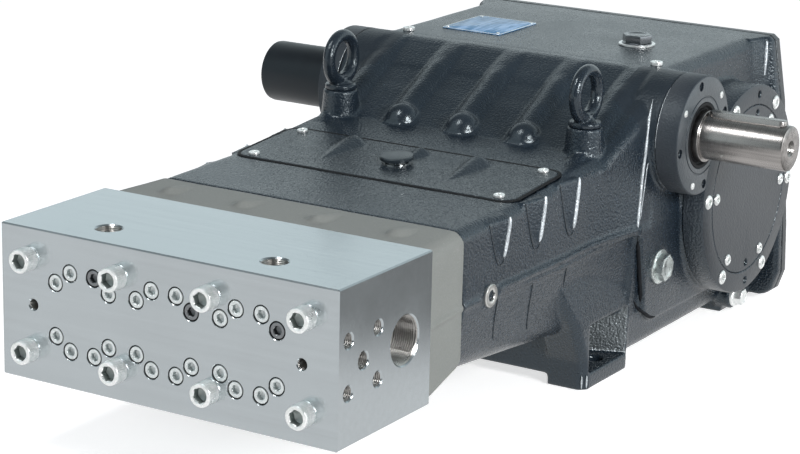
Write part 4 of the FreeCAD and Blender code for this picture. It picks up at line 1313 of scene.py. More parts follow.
    def bosses(self) -> List[Shell]:
        """Return the flared feet of the two lifting eyes: r = 19 + 14 e^(-h / 9)."""
        h = np.linspace(0.0, 42.0, 30)
        profile = [(0, h[0])] + [(19.0 + 14.0 * math.exp(-v / 9.0), v) for v in h] + [(0, h[-1])]
        x, y, z = self.eye_foot
        return [turned(profile, (side * x, y, z), UPWARD, 56) for side in SIDES]

    def seats(self) -> List[Shell]:
        """Return the round seats under the two side plugs."""
        x, y, z = self.plug
        profile = [(0, -6.0), (15.5, -6.0), (15.5, 0.6), (14.0, 1.4), (0, 1.4)]
        return [turned(profile, (side * x, y, z), (side, 0, 0), 48) for side in SIDES]

    def fin(self, side: int, top: Pair, low: Pair) -> Shell:
        """Return one louvre fin: a ramp that rises to a narrow crest, drops behind it and fades downwards.

        The crest's height is rise (1 - 0.6 s) and the ramp's width 34 (1 - s^2.2) + 2, s from the top down.

        Args:
            side: 1 for the drive side and -1 for the other.
            top: the (y, z) of the crest's upper end.
            low: the (y, z) of its lower end.

        Returns:
            The shell.
        """
        s = np.linspace(0.0, 1.0, 36)[:, None]
        high = self.fin_rise * (1.0 - 0.6 * s)
        wide = 34.0 * (1.0 - s ** 2.2) + 2.0
        t = np.array([-1.0, -0.75, -0.5, -0.25, -0.06, 0.0, 0.1, 0.14, -1.0])[None, :]
        lift = np.array([-0.1, 0.12, 0.38, 0.66, 0.95, 1.0, -0.1, -0.8, -0.8])[None, :]
        y = top[0] + (low[0] - top[0]) * s
        z = top[1] + (low[1] - top[1]) * s + 0.0 * t
        back = np.where(t > 0, t * 24.0, t * wide)
        out = self.upper_wall(z) + lift * high
        return skin(np.stack([side * out, y + back + 0.0 * s, z], -1))

    def flares(self) -> List[Shell]:
        """Return the fillets that lead each side wall out to the rear flange above the crank cover.

        x = wall + (flange - wall) t^1.2 with t from 0 at y 176 to 1 at y 209, fading out below z 262.
        """
        z = np.linspace(240.0, 320.4, 40)[:, None]
        t = np.linspace(0.0, 1.0, 20)[None, :]
        wall = self.panel_half(z) - 6.0
        flange = np.interp(z, *self.rear_flange)
        fade = np.clip((z - 240.0) / 22.0, 0.0, 1.0)
        out = wall + (flange - wall) * t ** 1.2 * fade
        return self.walled(out, 176.0 + 33.0 * t + 0.0 * z, z + 0.0 * t, 170.0)

    def fin_lines(self, side: int) -> None:
        """Add the painted highlights along the crests of one side's fins and the mould line that hooks round
        each fin's foot.
        """
        k = np.linspace(0.0, 1.0, 40)
        turn = np.linspace(-0.5 * math.pi, 0.5 * math.pi, 40)
        away = np.where(turn < 0, (-turn * 2.0 / math.pi) ** 3, 0.0)
        for y0, z0, y1, z1 in self.fins:
            z = z0 + (z1 - z0) * k
            high = self.fin_rise * (1.0 - 0.6 * k) - 0.9
            thick = 2.7 * np.sqrt(np.clip(1.05 - (2.0 * k - 1.0) ** 4, 0.05, 1.0))
            self.bright.append(bead(side * (self.upper_wall(z) + high), y0 + (y1 - y0) * k, z, thick))
            z = z1 + 2.0 - 9.0 * np.cos(turn) + (z0 - z1 - 4.0) * away
            y = y1 - 5.0 + 9.0 * np.sin(turn) + (y0 - y1 - 20.0) * away
            self.dark.append(bead(side * (self.upper_wall(z) + 0.3), y, z, 0.5, 8))

    def panel_lines(self, side: int) -> None:
        """Add the painted highlights along one side's panel crest, the fine line behind it and the tube's
        joint line.
        """
        z = np.linspace(299.0, 163.0, 60)
        fade = np.clip(np.minimum((299.0 - z) / 22.0, (z - 163.0) / 6.0 + 0.3), 0.15, 1.0)
        y = self.panel_front(z) + 0.4
        self.bright.append(bead(side * (self.panel_half(z) - 0.6), y, z, 1.9 * fade, 10))
        k = np.linspace(0.0, 1.0, 40)
        z = np.linspace(290.0, 172.0, 40)
        y = self.panel_front(z) + 5.5 + 8.0 * (1.0 - k)
        self.bright.append(bead(side * (self.panel_half(z) - 0.25), y, z, 0.8 * tapered(k, 0.02), 8))
        turn = np.radians(122.0 + 62.0 * k)
        y = SHAFT_LINE[0] + self.tube_radius * np.cos(turn)
        z = SHAFT_LINE[1] + self.tube_radius * np.sin(turn)
        self.bright.append(bead(side * self.tube_front, y, z, 0.34 * tapered(k, 0.02), 8))

    def lower_lines(self, side: int) -> None:
        """Add the lines low on one side: mould hooks, painted highlights on the pocket's bottom line and the
        foot's corner, and painted shadow along the panel's step.
        """
        for y0, low in self.hooks:
            z = np.linspace(150.0, low, 24)
            y = y0 - 9.0 * np.sqrt(np.clip(1.0 - ((150.0 - z) / (151.0 - low)) ** 2, 0.0, 1.0))
            self.dark.append(bead(side * (self.upper_wall(z) + 0.2), y, z, 0.5, 8))
        k = np.linspace(0.0, 1.0, 40)
        self.bright.append(bead(side * (130.0 + 59.0 * k), -155.4 + 26.0 * k, 19.2, 1.3, 10))
        for turn in (-62.0, -18.0):
            a = math.radians(turn)
            x = side * (self.foot_corner[0] + self.foot_radius * math.cos(a))
            y = self.foot_corner[1] + self.foot_radius * math.sin(a)
            self.bright.append(bead(x, y, 2.5 + 14.5 * k, 1.1 * np.sin(math.pi * (0.08 + 0.84 * k)), 8))
        z = 151.0 - 88.0 * k
        thick = 2.3 * np.clip(np.minimum(k * 8.0, 1.0), 0.2, 1.0)
        self.shaded.append(bead(side * (self.panel_half(z) - 4.6), self.panel_front(z) - 0.6, z, thick, 10))

    def laid(self, tree: BVHTree, path: Array, direction: Vec, radius: Array) -> Shell:
        """Lay a bead on the casting, where rays through a path's points meet it.

        Args:
            tree: the casting's faces.
            path: the points that the rays run through.
            direction: the rays' direction.
            radius: the bead's radius at each point.

        Returns:
            The bead.
        """
        ahead = np.asarray(direction, float) / np.linalg.norm(direction)
        spots = []
        for point in path:
            hit = tree.ray_cast((point - 120.0 * ahead) * MM, ahead)[0]
            spots.append(np.array(hit) / MM if hit else point)
        spots = np.pad(np.array(spots), ((2, 2), (0, 0)), "edge")
        even = np.stack([np.convolve(spots[:, c], np.full(5, 0.2), "valid") for c in range(3)], -1)
        return swept(even, radius, 10)

    def laid_lines(self, item: Item) -> None:
        """Add the painted highlight beads by the rear flange and the painted shadow crescents under the
        panels' corners.
        """
        k = np.linspace(0.0, 1.0, 30)
        tree = BVHTree.FromObject(item, bpy.context.evaluated_depsgraph_get())
        for side in SIDES:
            z = 77.0 - 30.0 * (1.0 - (1.0 - k) ** 2)
            arc = np.stack([np.full(30, side * 200.0), -119.0 + 47.0 * k, z], -1)
            self.shaded.append(self.laid(tree, arc, (-side, 0.0, 0.0), 0.5 + 1.6 * np.sin(math.pi * k)))
            rear = np.stack([side * (188.0 - 2.6 * k), np.full(30, 208.0), 314.0 - 44.0 * k], -1)
            self.bright.append(self.laid(tree, rear, (-0.5 * side, 0.82, -0.27), 2.3 * tapered(k, 0.04)))

    def in_pocket(self, middles: Array, normals: Array) -> Array:
        """Return which faces belong to the slanted walls inside the front feet's pockets, which are painted
        lighter as a highlight.
        """
        x, y, z = np.abs(middles[:, 0]), middles[:, 1], middles[:, 2]
        wall = -157.0 + (x - 126.0) * 28.0 / 64.0
        across = (x > 124.0) & (x < 190.0) & (np.abs(y - wall) < 6.0)
        return across & (z > 19.5) & (z < 79.5) & (normals[:, 1] < -0.5)

    def on_bulbs(self, middles: Array, normals: Array) -> Array:
        """Return which faces belong to the bulbs at the ribs' feet."""
        x, y, z = middles[:, 0], middles[:, 1], middles[:, 2]
        step = x - np.clip(np.round(x / self.rib_spacing), -1.0, 1.0) * self.rib_spacing
        away = np.sqrt(step ** 2 + (y - self.bulb_centre[0]) ** 2 + (z - self.bulb_centre[1]) ** 2)
        return (away < 22.0) & (normals[:, 1] < 0.3)

    def on_tube(self, middles: Array, normals: Array) -> Array:
        """Return which faces belong to the upper front of the tubes that carry the bearing covers."""
        x, y, z = np.abs(middles[:, 0]), middles[:, 1], middles[:, 2]
        away = np.hypot(y - SHAFT_LINE[0], z - SHAFT_LINE[1])
        return (away < 80.0) & (x > 152.0) & (y < -40.0) & (z > 258.0)

    def without_fins(self, casting: Shell) -> Shell:
        """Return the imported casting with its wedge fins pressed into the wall, as the finer ones need."""
        points = casting.points.copy()
        x, y, z = (points[:, n] for n in range(3))
        near = (y > -432.0) & (y < -236.0) & (z > 180.0) & (z < 246.0)
        near &= np.abs(x) > self.upper_wall(z) + 0.3
        points[near, 0] = np.sign(x[near]) * (self.upper_wall(z[near]) - 0.5)
        return Shell(points, casting.quads, casting.tris)

    def shaped(self, points: Array, normals: Array) -> Array:
        """Press the slope softly under its ceiling, z - edge ln(1 + e^((z - cap) / edge)), and ruffle it.

        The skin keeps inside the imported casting's height.

        Args:
            points: the skin's points.
            normals: its normals.

        Returns:
            The moved points.
        """
        points = points.copy()
        over = np.clip((points[:, 2] - self.ceiling(points)) / self.slope_edge, -20.0, 20.0)
        y = points[:, 1]
        share = np.clip((y + 137.0) / 12.0, 0.0, 1.0) * np.clip((-42.0 - y) / 14.0, 0.0, 1.0)
        points[:, 2] -= self.slope_edge * np.log1p(np.exp(over)) * share
        moved = unevenness(points, normals)
        moved[:, 2] = np.clip(moved[:, 2], 0.03, self.crown + 0.4)
        return moved

    def rear_outline(self, amount: float) -> Array:
        """Return the rear cover's outline, inset by an amount, as (x, z) points, counter-clockwise."""
        left = [(-x, z) for x, z in reversed(self.rear_corners)]
        return inset(np.array(list(self.rear_corners) + left), amount)

    def build_casting(self) -> Item:
        """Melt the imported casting, its ribs and its beads into one skin with soft edges, and dress it."""
        shells = [self.without_fins(cad_shell("crankcase")), self.slope()]
        shells += self.ridges() + self.bulbs() + self.swells() + self.bosses() + self.seats() + self.flares()
        shells.append(slab(self.rear_outline, [(1.2, 200.0), (0.2, 203.0), (0.2, 212.8)], ORIGIN, STANDING))
        shells += [self.fin(side, (y0, z0), (y1, z1)) for side in SIDES for y0, z0, y1, z1 in self.fins]
        item = softened("crankcase_casting", shells, 1.8, 6, 195000, self.shaped, 4)
        self.finish_piece(item, BLACK_PAINT, ["crankcase"], angle=CASTING_ANGLE)
        # painted highlight on the pocket walls
        self.dressed(item, POCKET_HIGHLIGHT_PAINT, self.in_pocket)
        self.dressed(item, SMOOTH_PAINT, self.on_bulbs)
        self.dressed(item, TUBE_PAINT, self.on_tube)
        return item

    def build_rear_cover(self) -> None:
        """Build the rear cover, a plate with a raised field."""
        steps = [(0.6, 212.3), (0.0, 213.0), (0.0, 222.0), (0.5, 223.6), (1.6, 224.6)]
        cover = slab(self.rear_outline, steps, ORIGIN, STANDING)
        raised = slab(plate(186.0, 128.0, 22.0, 10), [(0.0, 222.0), (1.6, 224.8), (2.4, 225.6), (3.8, 226.0)],
                      (0.0, 0.0, 164.0), STANDING)
        self.piece("rear_cover_plate", [cover, raised], BLACK_COVER, ["rear_cover"])

    def build(self) -> None:
        """Build the casting, the crisp lines on it, with painted highlights and painted shadows among them,
        and the rear cover.
        """
        item = self.build_casting()
        for side in SIDES:
            self.fin_lines(side)
            self.panel_lines(side)
            self.lower_lines(side)
        self.laid_lines(item)
        # painted highlights: light beads on crests and edges
        self.piece("crankcase_painted_highlights", self.bright, HIGHLIGHT_PAINT, angle=CASTING_ANGLE)
        self.piece("crankcase_mould_lines", self.dark, BLACK_COVER, angle=CASTING_ANGLE)
        # painted shadows: near black beads where shade falls
        self.piece("crankcase_painted_shadows", self.shaded, SHADOW_PAINT, angle=CASTING_ANGLE)
        self.build_rear_cover()


@dataclass
class DeckFittings(SubAssembly):
    """The inspection cover, the lifting eyes, the blank plate, the filler and the deck screws.

    Places on the inspection cover are given across and along it, from the middle of its front edge. Flat
    parts with round corners are given as half width, half length and corner radius.
    """

    hatch_front: float = -367.0
    deck: float = 237.0
    tilt: float = math.atan2(13.5, 180.0)
    hatch: Point = (170.0, 56.5, 16.0)
    gap: Point = (173.2, 59.7, 19.0)
    gap_radius: float = 2.2
    hatch_top: float = 1.0
    leaves: Tuple[Tuple[float, ...], ...] = (
        (-78.0, 26.0, 82.0, 17.0, 9.0), (78.0, 26.0, 82.0, 17.0, 9.0), (6.0, 58.0, 46.0, 13.0, 7.0))
    hatch_screw: SocketScrew = SocketScrew(6.0, 2.5, 2.6, 1.6, 48, Form.ROUND)
    hatch_screws: Tuple[Pair, ...] = ((-151.0, 10.0), (-151.0, 103.0), (151.0, 10.0), (151.0, 103.0))

    eye: Point = (155.0, -182.0, 279.5)
    eye_middle: float = 35.0
    eye_top: float = 66.9
    eye_ring: float = 25.0
    eye_rod: float = 6.9
    eye_swell: float = 1.3

    crown: float = 321.0
    blank_place: Pair = (-99.0, 54.0)
    blank: Point = (39.0, 45.0, 2.5)
    blank_top: float = 1.1
    rivets: Tuple[Pair, ...] = ((-34.0, -40.0), (-34.0, 40.0), (34.0, -40.0), (34.0, 40.0))
    filler_place: Pair = (92.0, 61.0)
    filler_head: HexHead = HexHead(15.1, 2.5, 12.5, 8.0)
    crown_screw: SocketScrew = SocketScrew(7.0, 4.0, 3.0, 2.4, 64, Form.ROUND)
    crown_screws: Tuple[Pair, ...] = ((-161.0, -28.0), (161.0, -28.0))

    def deck_rows(self) -> Array:
        """Return the directions across, along and out of the sloping deck."""
        c, s = math.cos(self.tilt), math.sin(self.tilt)
        return np.array([[1.0, 0.0, 0.0], [0.0, c, s], [0.0, -s, c]])

    def on_deck(self, x: float, along: float, above: float) -> Array:
        """Return the point at a distance across, along and above the deck."""
        return np.array([0.0, self.hatch_front, self.deck]) + np.array([x, along, above]) @ self.deck_rows()

    def leaf(self, x: float, start: float, length: float, width: float, height: float) -> Shell:
        """Return a raised leaf that starts as a point and ends broad and round.

        Args:
            x: where its middle line lies.
            start: where it starts.
            length: how long it is.
            width: its half width where it is broadest.
            height: its height there.

        Returns:
            The shell.
        """
        def half(s: Array) -> Array:
            """Return the half width along the leaf."""
            round_end = np.sqrt(np.clip(1.0 - np.clip((s - 0.78) / 0.22, 0, 1) ** 2, 0.0, 1.0))
            return width * np.clip(s / 0.78, 0, 1) ** 0.8 * round_end

        def rise(s: Array) -> Array:
            """Return the height along the leaf."""
            return height * np.clip(s / 0.8, 0, 1) ** 1.1 * np.clip((1.0 - s) / 0.16, 0, 1) ** 0.6

        return dome(length, half, rise, self.on_deck(x, start, 0.8), self.deck_rows())

    def border(self, outline: Array, radius: float, origin: Vec, rows: Array = LYING) -> Shell:
        """Carry a flat oval section round an outline: half as high as it is wide, and inside the outline.

        Args:
            outline: the outline's points.
            radius: half the section's width.
            origin: where the outline's middle lies.
            rows: the outline's directions and the direction out of its plane.

        Returns:
            The shell.
        """
        ring = inset(outline, radius)
        out = inset(outline, 0.0) - ring
        out /= np.linalg.norm(out, axis=1, keepdims=True)
        theta = np.arange(10) * 2.0 * math.pi / 10
        flat = ring[:, None, :] + radius * np.cos(theta)[None, :, None] * out[:, None, :]
        height = np.broadcast_to(0.5 * radius * np.sin(theta)[None, :, None], flat.shape[:2] + (1,))
        return skin(np.asarray(origin, float) + np.concatenate([flat, height], -1) @ rows, loop=True)

    def build_hatch(self) -> None:
        """Build the inspection cover, the dark ring of painted shadow in the gap round it, its knob and its
        screws.
        """
        rows, middle = self.deck_rows(), self.on_deck(0.0, self.hatch[1], 0.0)
        steps = [(0.0, -5.0), (0.0, 0.2), (0.4, 0.8), (1.2, self.hatch_top)]
        lid = slab(plate(*self.hatch, 10), steps, middle, rows)
        shells = [lid] + [self.leaf(*sizes) for sizes in self.leaves]
        item = softened("inspection_cover_lid", shells, 1.3, 2, 90000)
        self.finish_piece(item, HATCH_PAINT, ["inspection_cover"], angle=CASTING_ANGLE)
        gap = self.border(rounded(*self.gap, 10), self.gap_radius, middle, rows)
        # painted shadow: a dark ring where the gap round the lid is in shade
        self.piece("cover_gap_painted_shadow", [gap], SEAL_RUBBER)
        knob = [(0, 3.4), (13.5, 3.4), (17.0, 3.8), (18.0, 4.6), (18.0, 7.4), (17.2, 8.6), (15.0, 9.0),
                (0, 9.0)]
        neck = [(0, 0.0), (13.6, 0.0), (13.6, 1.0), (12.2, 1.6), (12.2, 3.8), (0, 3.8)]
        seat = self.on_deck(0.0, self.hatch[1], self.hatch_top)
        self.piece("cover_knob", [turned(knob, seat, rows[2])], KNOB_CAP, ["inspection_cover_knob"])
        self.piece("cover_knob_neck", [turned(neck, seat, rows[2])], CHROME)
        screws = [self.hatch_screw.head(self.on_deck(x, y, self.hatch_top), rows[2], 20.0 * k)
                  for k, (x, y) in enumerate(self.hatch_screws)]
        self.piece("cover_screws", screws, ZINC, ["inspection_cover_screws"])

    def build_eye(self, side: int, label: str) -> None:
        """Build one lifting eye: a ring that thickens towards its foot, on a neck and a collar.

        The ring is a torus whose rod is rod + swell sin^2 in its lower half.
        """
        x, y, z = side * self.eye[0], self.eye[1], self.eye[2]
        phi = np.linspace(0.0, 2.0 * math.pi, 73)[:-1, None]
        theta = np.linspace(0.0, 2.0 * math.pi, 25)[None, :-1]
        rod = self.eye_rod + self.eye_swell * np.clip(-np.sin(phi), 0.0, 1.0) ** 2
        reach = self.eye_ring + (rod - self.eye_rod) * 0.3 + rod * np.cos(theta)
        ring = np.stack([x + rod * np.sin(theta) + 0 * phi, y + reach * np.cos(phi),
                         z + self.eye_middle + reach * np.sin(phi)], -1)
        ring[..., 2] = np.clip(ring[..., 2], z, z + self.eye_top)
        collar = [(0, 0.0), (17.2, 0.0), (18.0, 1.0), (18.0, 4.6), (16.8, 6.0), (11.5, 7.5), (9.5, 10.0),
                  (9.0, 14.0), (0, 14.0)]
        shells = [skin(ring, loop=True), turned(collar, (x, y, z), UPWARD)]
        item = softened("lifting_eye_" + label, shells, 0.9, 3, 60000)
        self.finish_piece(item, BLACK_STEEL, ["eyebolt_" + label], angle=CASTING_ANGLE)

    def build_blank(self) -> None:
        """Build the blank name plate with its raised rim and its rivets."""
        x, y = self.blank_place
        steps = [(0.3, 0.0), (0.0, 0.3), (0.0, 1.0), (0.5, 1.3)]
        blank = slab(plate(*self.blank, 6), steps, (x, y, self.crown), LYING)
        self.piece("blank_name_plate", [blank], BLUE_PLATE, ["nameplate"])
        rim = self.border(rounded(*self.blank, 6), 0.6, (x, y, self.crown + self.blank_top))
        rivet = [(0, 0.0), (2.2, 0.0), (2.1, 0.6), (1.2, 1.2), (0, 1.35)]
        rivets = [turned(rivet, (x + across, y + along, self.crown + 1.2), UPWARD, 24)
                  for across, along in self.rivets]
        self.piece("plate_rim_and_rivets", [rim] + rivets, ZINC, ["nameplate_rivets"])

    def build_filler(self) -> None:
        """Build the filler plug on its washer, and the two screws on the crown."""
        centre = (*self.filler_place, self.crown)
        washer = [(17.0, 0.0), (20.4, 0.0), (21.0, 0.6), (21.0, 2.0), (20.3, 2.5), (17.0, 2.5)]
        flange = [(0, 0.2), (16.6, 0.2), (17.4, 0.8), (17.4, 3.0), (16.4, 3.6), (0, 3.6)]
        self.piece("filler_seal_washer", [turned(washer, centre, UPWARD)], ZINC, ["filler_washer"])
        plug = [self.filler_head.shell(centre, UPWARD), turned(flange, centre, UPWARD)]
        # the plug's dark colour is a painted reflection
        self.piece("filler_hex_plug", plug, CHROME_DARK_REFLECTION, ["filler_plug"])
        screws = [self.crown_screw.head((x, y, self.crown), UPWARD, x) for x, y in self.crown_screws]
        self.piece("crown_screws", screws, ZINC, ["deck_screws"])

    def build(self) -> None:
        """Build all of it."""
        self.build_hatch()
        self.build_eye(1, "right")
        self.build_eye(-1, "left")
        self.build_blank()
        self.build_filler()


@dataclass(frozen=True)
class HexPlug:
    """A hexagon plug on a side wall: what it is called and dressed in, its place, its flange and its head."""

    name: str
    node: str
    finish: Finish
    centre: Point
    flange: float
    chamfer: float
    head: HexHead
    thick: float = 3.0

    def shells(self) -> List[Shell]:
        """Return the flange and the head."""
        flange = disc(self.flange, 0.0, self.thick, self.chamfer)
        return [turned(flange, self.centre, OUTWARD), self.head.shell(self.centre, OUTWARD)]


@dataclass
class SideCovers(SubAssembly):
    """The bearing covers, crank covers and plugs of both sides; the left ones mirror the right ones."""

    back: float = 206.0
    face: float = 231.0
    gap: float = 0.2
    names: Tuple[str, str] = ("right", "left")

    bolt_ring: float = 57.0
    bolt_angles: Tuple[float, ...] = (18.0, 100.0, 190.0, 279.0)
    bolt_depth: float = 7.9
    sunk_bolt: SocketScrew = SocketScrew(4.5, 6.0, 2.2, 3.2, 60, Form.ROUND)
    small_angles: Tuple[float, ...] = (42.0, 145.0, 249.0)

    buttons: Tuple[Pair, Pair] = ((109.5, 8.0), (88.0, 6.5))
    button_count: int = 6
    first_button: float = -4.0
    tapped_hole: Tap = Tap(4.3, 8.0, 1.5, 0.6, 0.7)
    hole_angles: Tuple[float, ...] = (82.0, 272.0)

    socket_plug: SocketScrew = SocketScrew(12.0, 4.0, 5.4, 3.0, 72, Form.ROUND)
    socket_place: Point = (184.0, -431.0, 158.5)
    hex_plugs: Tuple[HexPlug, ...] = (
        HexPlug("level_hex_plug_", "level_plug_", PLUG_ZINC, (199.0, -77.0, 107.0), 19.5, 0.8,
                HexHead(13.4, 2.9, 12.0, 12.0)),
        HexPlug("drain_hex_plug_", "drain_plug_", ZINC, (200.0, 131.0, 22.0), 13.0, 0.7,
                HexHead(8.6, 2.9, 13.0, 4.0)))

    def thick(self) -> float:
        """Return the covers' thickness."""
        return self.face - self.back

    def sided(self, shells: Sequence[Shell], name: str) -> List[Shell]:
        """Return shells of the right side, mirrored for the left."""
        return list(shells) if name == "right" else [s.mirrored() for s in shells]

    def place(self, axis: Pair, ring: float, angle: float) -> Point:
        """Return the point on the covers' face on a ring about an axis; angles run from the rear upwards."""
        turn = math.radians(angle)
        return (self.face, axis[0] + ring * math.cos(turn), axis[1] + ring * math.sin(turn))

    def cut(self, label: str, body: Shell, tools: Sequence[Shell], name: str) -> Item:
        """Return a cover of one side, which is given as it is on the right, with its holes cut."""
        item = as_object(label + name, self.sided([body], name)[0])
        return carved(item, joined(self.sided(tools, name)))

    def faced(self, item: Item, finish: Finish) -> None:
        """Dress the flat outer faces of a cover, those that look along X, in a finish of their own, painted
        lighter as a sheen.
        """
        self.dressed(item, finish, lambda middles, normals: np.abs(normals[:, 0]) > 0.9)

    def bearing_disc(self, name: str) -> Shell:
        """Return one bearing cover; the right one is open round the shaft, with a step for its seal."""
        thick = self.thick()
        rim = [(66.5, self.gap), (66.5, thick - 1.8), (66.0, thick - 0.6), (64.8, thick), (44.0, thick),
               (43.4, thick - 0.7), (42.6, thick - 0.7), (42.0, thick)]
        bore = [(37.3, thick), (36.5, thick - 0.8), (36.5, thick - 6.0), (30.0, thick - 6.0)]
        profile = [(0, self.gap)] + rim + [(0, thick)]
        if name == "right":
            profile = [(30.0, self.gap)] + rim + bore
        return turned(profile, (self.back, *SHAFT_LINE), OUTWARD, 144)

    def bearing(self, name: str) -> None:
        """Build one bearing cover, cut round the crank cover, with its sunk bolts and its small screws."""
        thick = self.thick()
        beside = [(0, -1.0), (121.6, -1.0), (121.6, thick - 0.8), (123.0, thick + 0.6), (0, thick + 0.6)]
        seat = [(0, 0.6), (5.9, 0.6), (5.0, -0.3), (5.0, -8.0), (0, -8.0)]
        crown = [(0, 0.0), (4.0, 0.0), (3.8, 0.8), (2.6, 1.2), (1.6, 1.2), (1.3, 0.5), (0, 0.5)]
        tools, bolts = [turned(beside, (self.back, *CRANK_LINE), OUTWARD, 180)], []
        for angle in self.bolt_angles:
            x, y, z = self.place(SHAFT_LINE, self.bolt_ring, angle)
            tools.append(turned(seat, (x, y, z), OUTWARD, 40))
            bolts.append(self.sunk_bolt.head((x - self.bolt_depth, y, z), OUTWARD, angle))
        item = self.cut("bearing_cover_disc_", self.bearing_disc(name), tools, name)
        self.finish_piece(item, TUBE_PAINT, ["bearing_cover_" + name])
        self.faced(item, BEARING_FACE)
        bolts = self.sided(bolts, name)
        self.piece("sunk_bolts_" + name, bolts, BLACK_STEEL, ["bearing_cover_bolts_" + name])
        small = [turned(crown, self.place(SHAFT_LINE, self.bolt_ring, angle), OUTWARD, 36)
                 for angle in self.small_angles]
        self.piece("small_screws_" + name, self.sided(small, name), ZINC, ["bearing_cover_screws_" + name])

    def crank_cover(self, name: str) -> None:
        """Build one crank cover, its plate and their screws."""
        thick, centre = self.thick(), (self.back, *CRANK_LINE)
        ring = [(0, self.gap), (121.0, self.gap), (121.0, thick - 2.6), (120.2, thick - 0.8), (118.4, thick),
                (98.7, thick), (97.7, thick - 1.0), (97.7, thick - 9.8), (0, thick - 9.8)]
        lid = [(0, thick - 9.7), (97.2, thick - 9.7), (97.2, thick - 0.9), (96.3, thick), (0, thick)]
        covers = (("crank_cover_ring_", ring, "crank_cover_"), ("crank_cover_plate_", lid, "crank_plate_"))
        for (label, profile, node), (circle, _) in zip(covers, self.buttons):
            tools = [self.tapped_hole.cutter(self.place(CRANK_LINE, circle, angle), OUTWARD)
                     for angle in self.hole_angles]
            item = self.cut(label, turned(profile, centre, OUTWARD, 192), tools, name)
            self.finish_piece(item, BLACK_PAINT, [node + name])
            self.faced(item, CRANK_FACE)
        screws = []
        for step in range(self.button_count):
            angle = 360.0 / self.button_count * step + self.first_button
            for circle, radius in self.buttons:
                screws.append(self.button(radius, self.place(CRANK_LINE, circle, angle), angle * 1.7))
        screws = self.sided(screws, name)
        self.piece("crank_cover_buttons_" + name, screws, ZINC, ["crank_cover_screws_" + name])

    def button(self, radius: float, centre: Vec, turn: float) -> Shell:
        """Return a low round screw head with a hexagon socket at an angle, on a seat's centre."""
        across = radius * 0.42
        profile = [(0, 0.0), (radius, 0.0), (radius, 0.9), (radius * 0.93, 1.6), (radius * 0.78, 2.3),
                   (radius * 0.6, 2.5), (across * 1.2, 2.5), (across, 2.2, Form.HEXAGON),
                   (across, 0.7, Form.HEXAGON), (0, 0.5)]
        return turned(profile, centre, OUTWARD, 48, turn)

    def plugs(self, name: str) -> None:
        """Build the three plugs of one side."""
        side = self.socket_plug.head(self.socket_place, OUTWARD, 11.0)
        self.piece("socket_plug_" + name, self.sided([side], name), STAINLESS, ["side_plug_" + name])
        for plug in self.hex_plugs:
            self.piece(plug.name + name, self.sided(plug.shells(), name), plug.finish, [plug.node + name])

    def build(self) -> None:
        """Build both sides."""
        for name in self.names:
            self.bearing(name)
            self.crank_cover(name)
            self.plugs(name)


@dataclass
class ShaftLine(SubAssembly):
    """The turning shaft with its key, the seal around it and the guard over its other end."""

    start: float = 110.0
    shoulder: float = 237.6
    end: float = 334.5
    face: float = 231.0
    radius: float = 25.0
    key_middle: float = 283.5
    key: Point = (45.0, 7.0, 6.9)
    key_seat: Point = (45.15, 7.12, 7.0)
    key_rise: float = 19.5
    seat_rise: float = 19.4
    seal_depth: float = 6.0
    centre_hole: Tap = Tap(7.3, 28.0, 2.0, 0.9, 1.6)
    centre_reach: float = 9.5

    def in_centre(self, middles: Array, normals: Array) -> Array:
        """Return which faces lie in the shaft's threaded centre."""
        under = self.end - middles[:, 0]
        reach = np.hypot(middles[:, 1] - SHAFT_LINE[0], middles[:, 2] - SHAFT_LINE[1])
        return (reach < self.centre_reach) & (under > 0.8) & (under < 40.0)

    def build_shaft(self) -> None:
        """Build the shaft, with its key seat and its threaded centre, and the key."""
        length, step, radius = self.end - self.start, self.shoulder - self.start, self.radius
        profile = [(0, 0.0), (27.6, 0.0), (28.5, 1.0), (28.5, step - 0.8), (27.8, step), (25.6, step),
                   (radius, step + 0.6), (radius, length - 2.2), (24.5, length - 0.7), (23.2, length),
                   (0, length)]
        y, z = SHAFT_LINE
        item = as_object("keyed_shaft", turned(profile, (self.start, y, z), OUTWARD, 160))
        origin = (self.key_middle, y, z + self.seat_rise)
        seat = slab(plate(*self.key_seat, 10), [(0.0, 0.0), (0.0, 8.0)], origin, LYING)
        carved(item, joined([seat, self.centre_hole.cutter((self.end, y, z), OUTWARD)]))
        self.finish_piece(item, SHAFT_STEEL, ["drive_shaft"], "shaft")
        self.dressed(item, BORE_STEEL, self.in_centre)
        steps = [(0.2, 0.0), (0.0, 0.3), (0.0, 9.4), (0.2, 9.8), (0.6, 10.0)]
        key = slab(plate(*self.key, 12), steps, (self.key_middle, y, z + self.key_rise), LYING)
        self.piece("shaft_feather_key", [key], SHAFT_STEEL, ["shaft_key"], "shaft")

    def build_seal(self) -> None:
        """Build the seal in the right bearing cover and the guard on the left one."""
        seal = [(28.8, 0.2), (36.3, 0.2), (36.3, 5.6), (35.8, 6.0), (33.4, 6.0), (32.6, 5.2), (31.8, 3.2),
                (30.4, 3.0), (29.6, 4.6), (29.0, 4.9), (28.8, 4.2)]
        ring = turned(seal, (self.face - self.seal_depth, *SHAFT_LINE), OUTWARD, 120)
        self.piece("shaft_seal_ring", [ring], SEAL_RUBBER, ["shaft_seal"])
        guard = [(0, 0.0), (36.8, 0.0), (36.8, 2.6), (36.0, 3.4), (35.9, 97.5), (35.2, 100.8), (33.4, 102.6),
                 (31.0, 103.0), (0, 103.0)]
        cap = turned(guard, (self.face, *SHAFT_LINE), OUTWARD, 120).mirrored()
        self.piece("shaft_end_cap", [cap], BLACK_PLASTIC, ["shaft_guard"])

    def build(self) -> None:
        """Build the shaft, key, seal and guard."""
        self.build_shaft()
        self.build_seal()


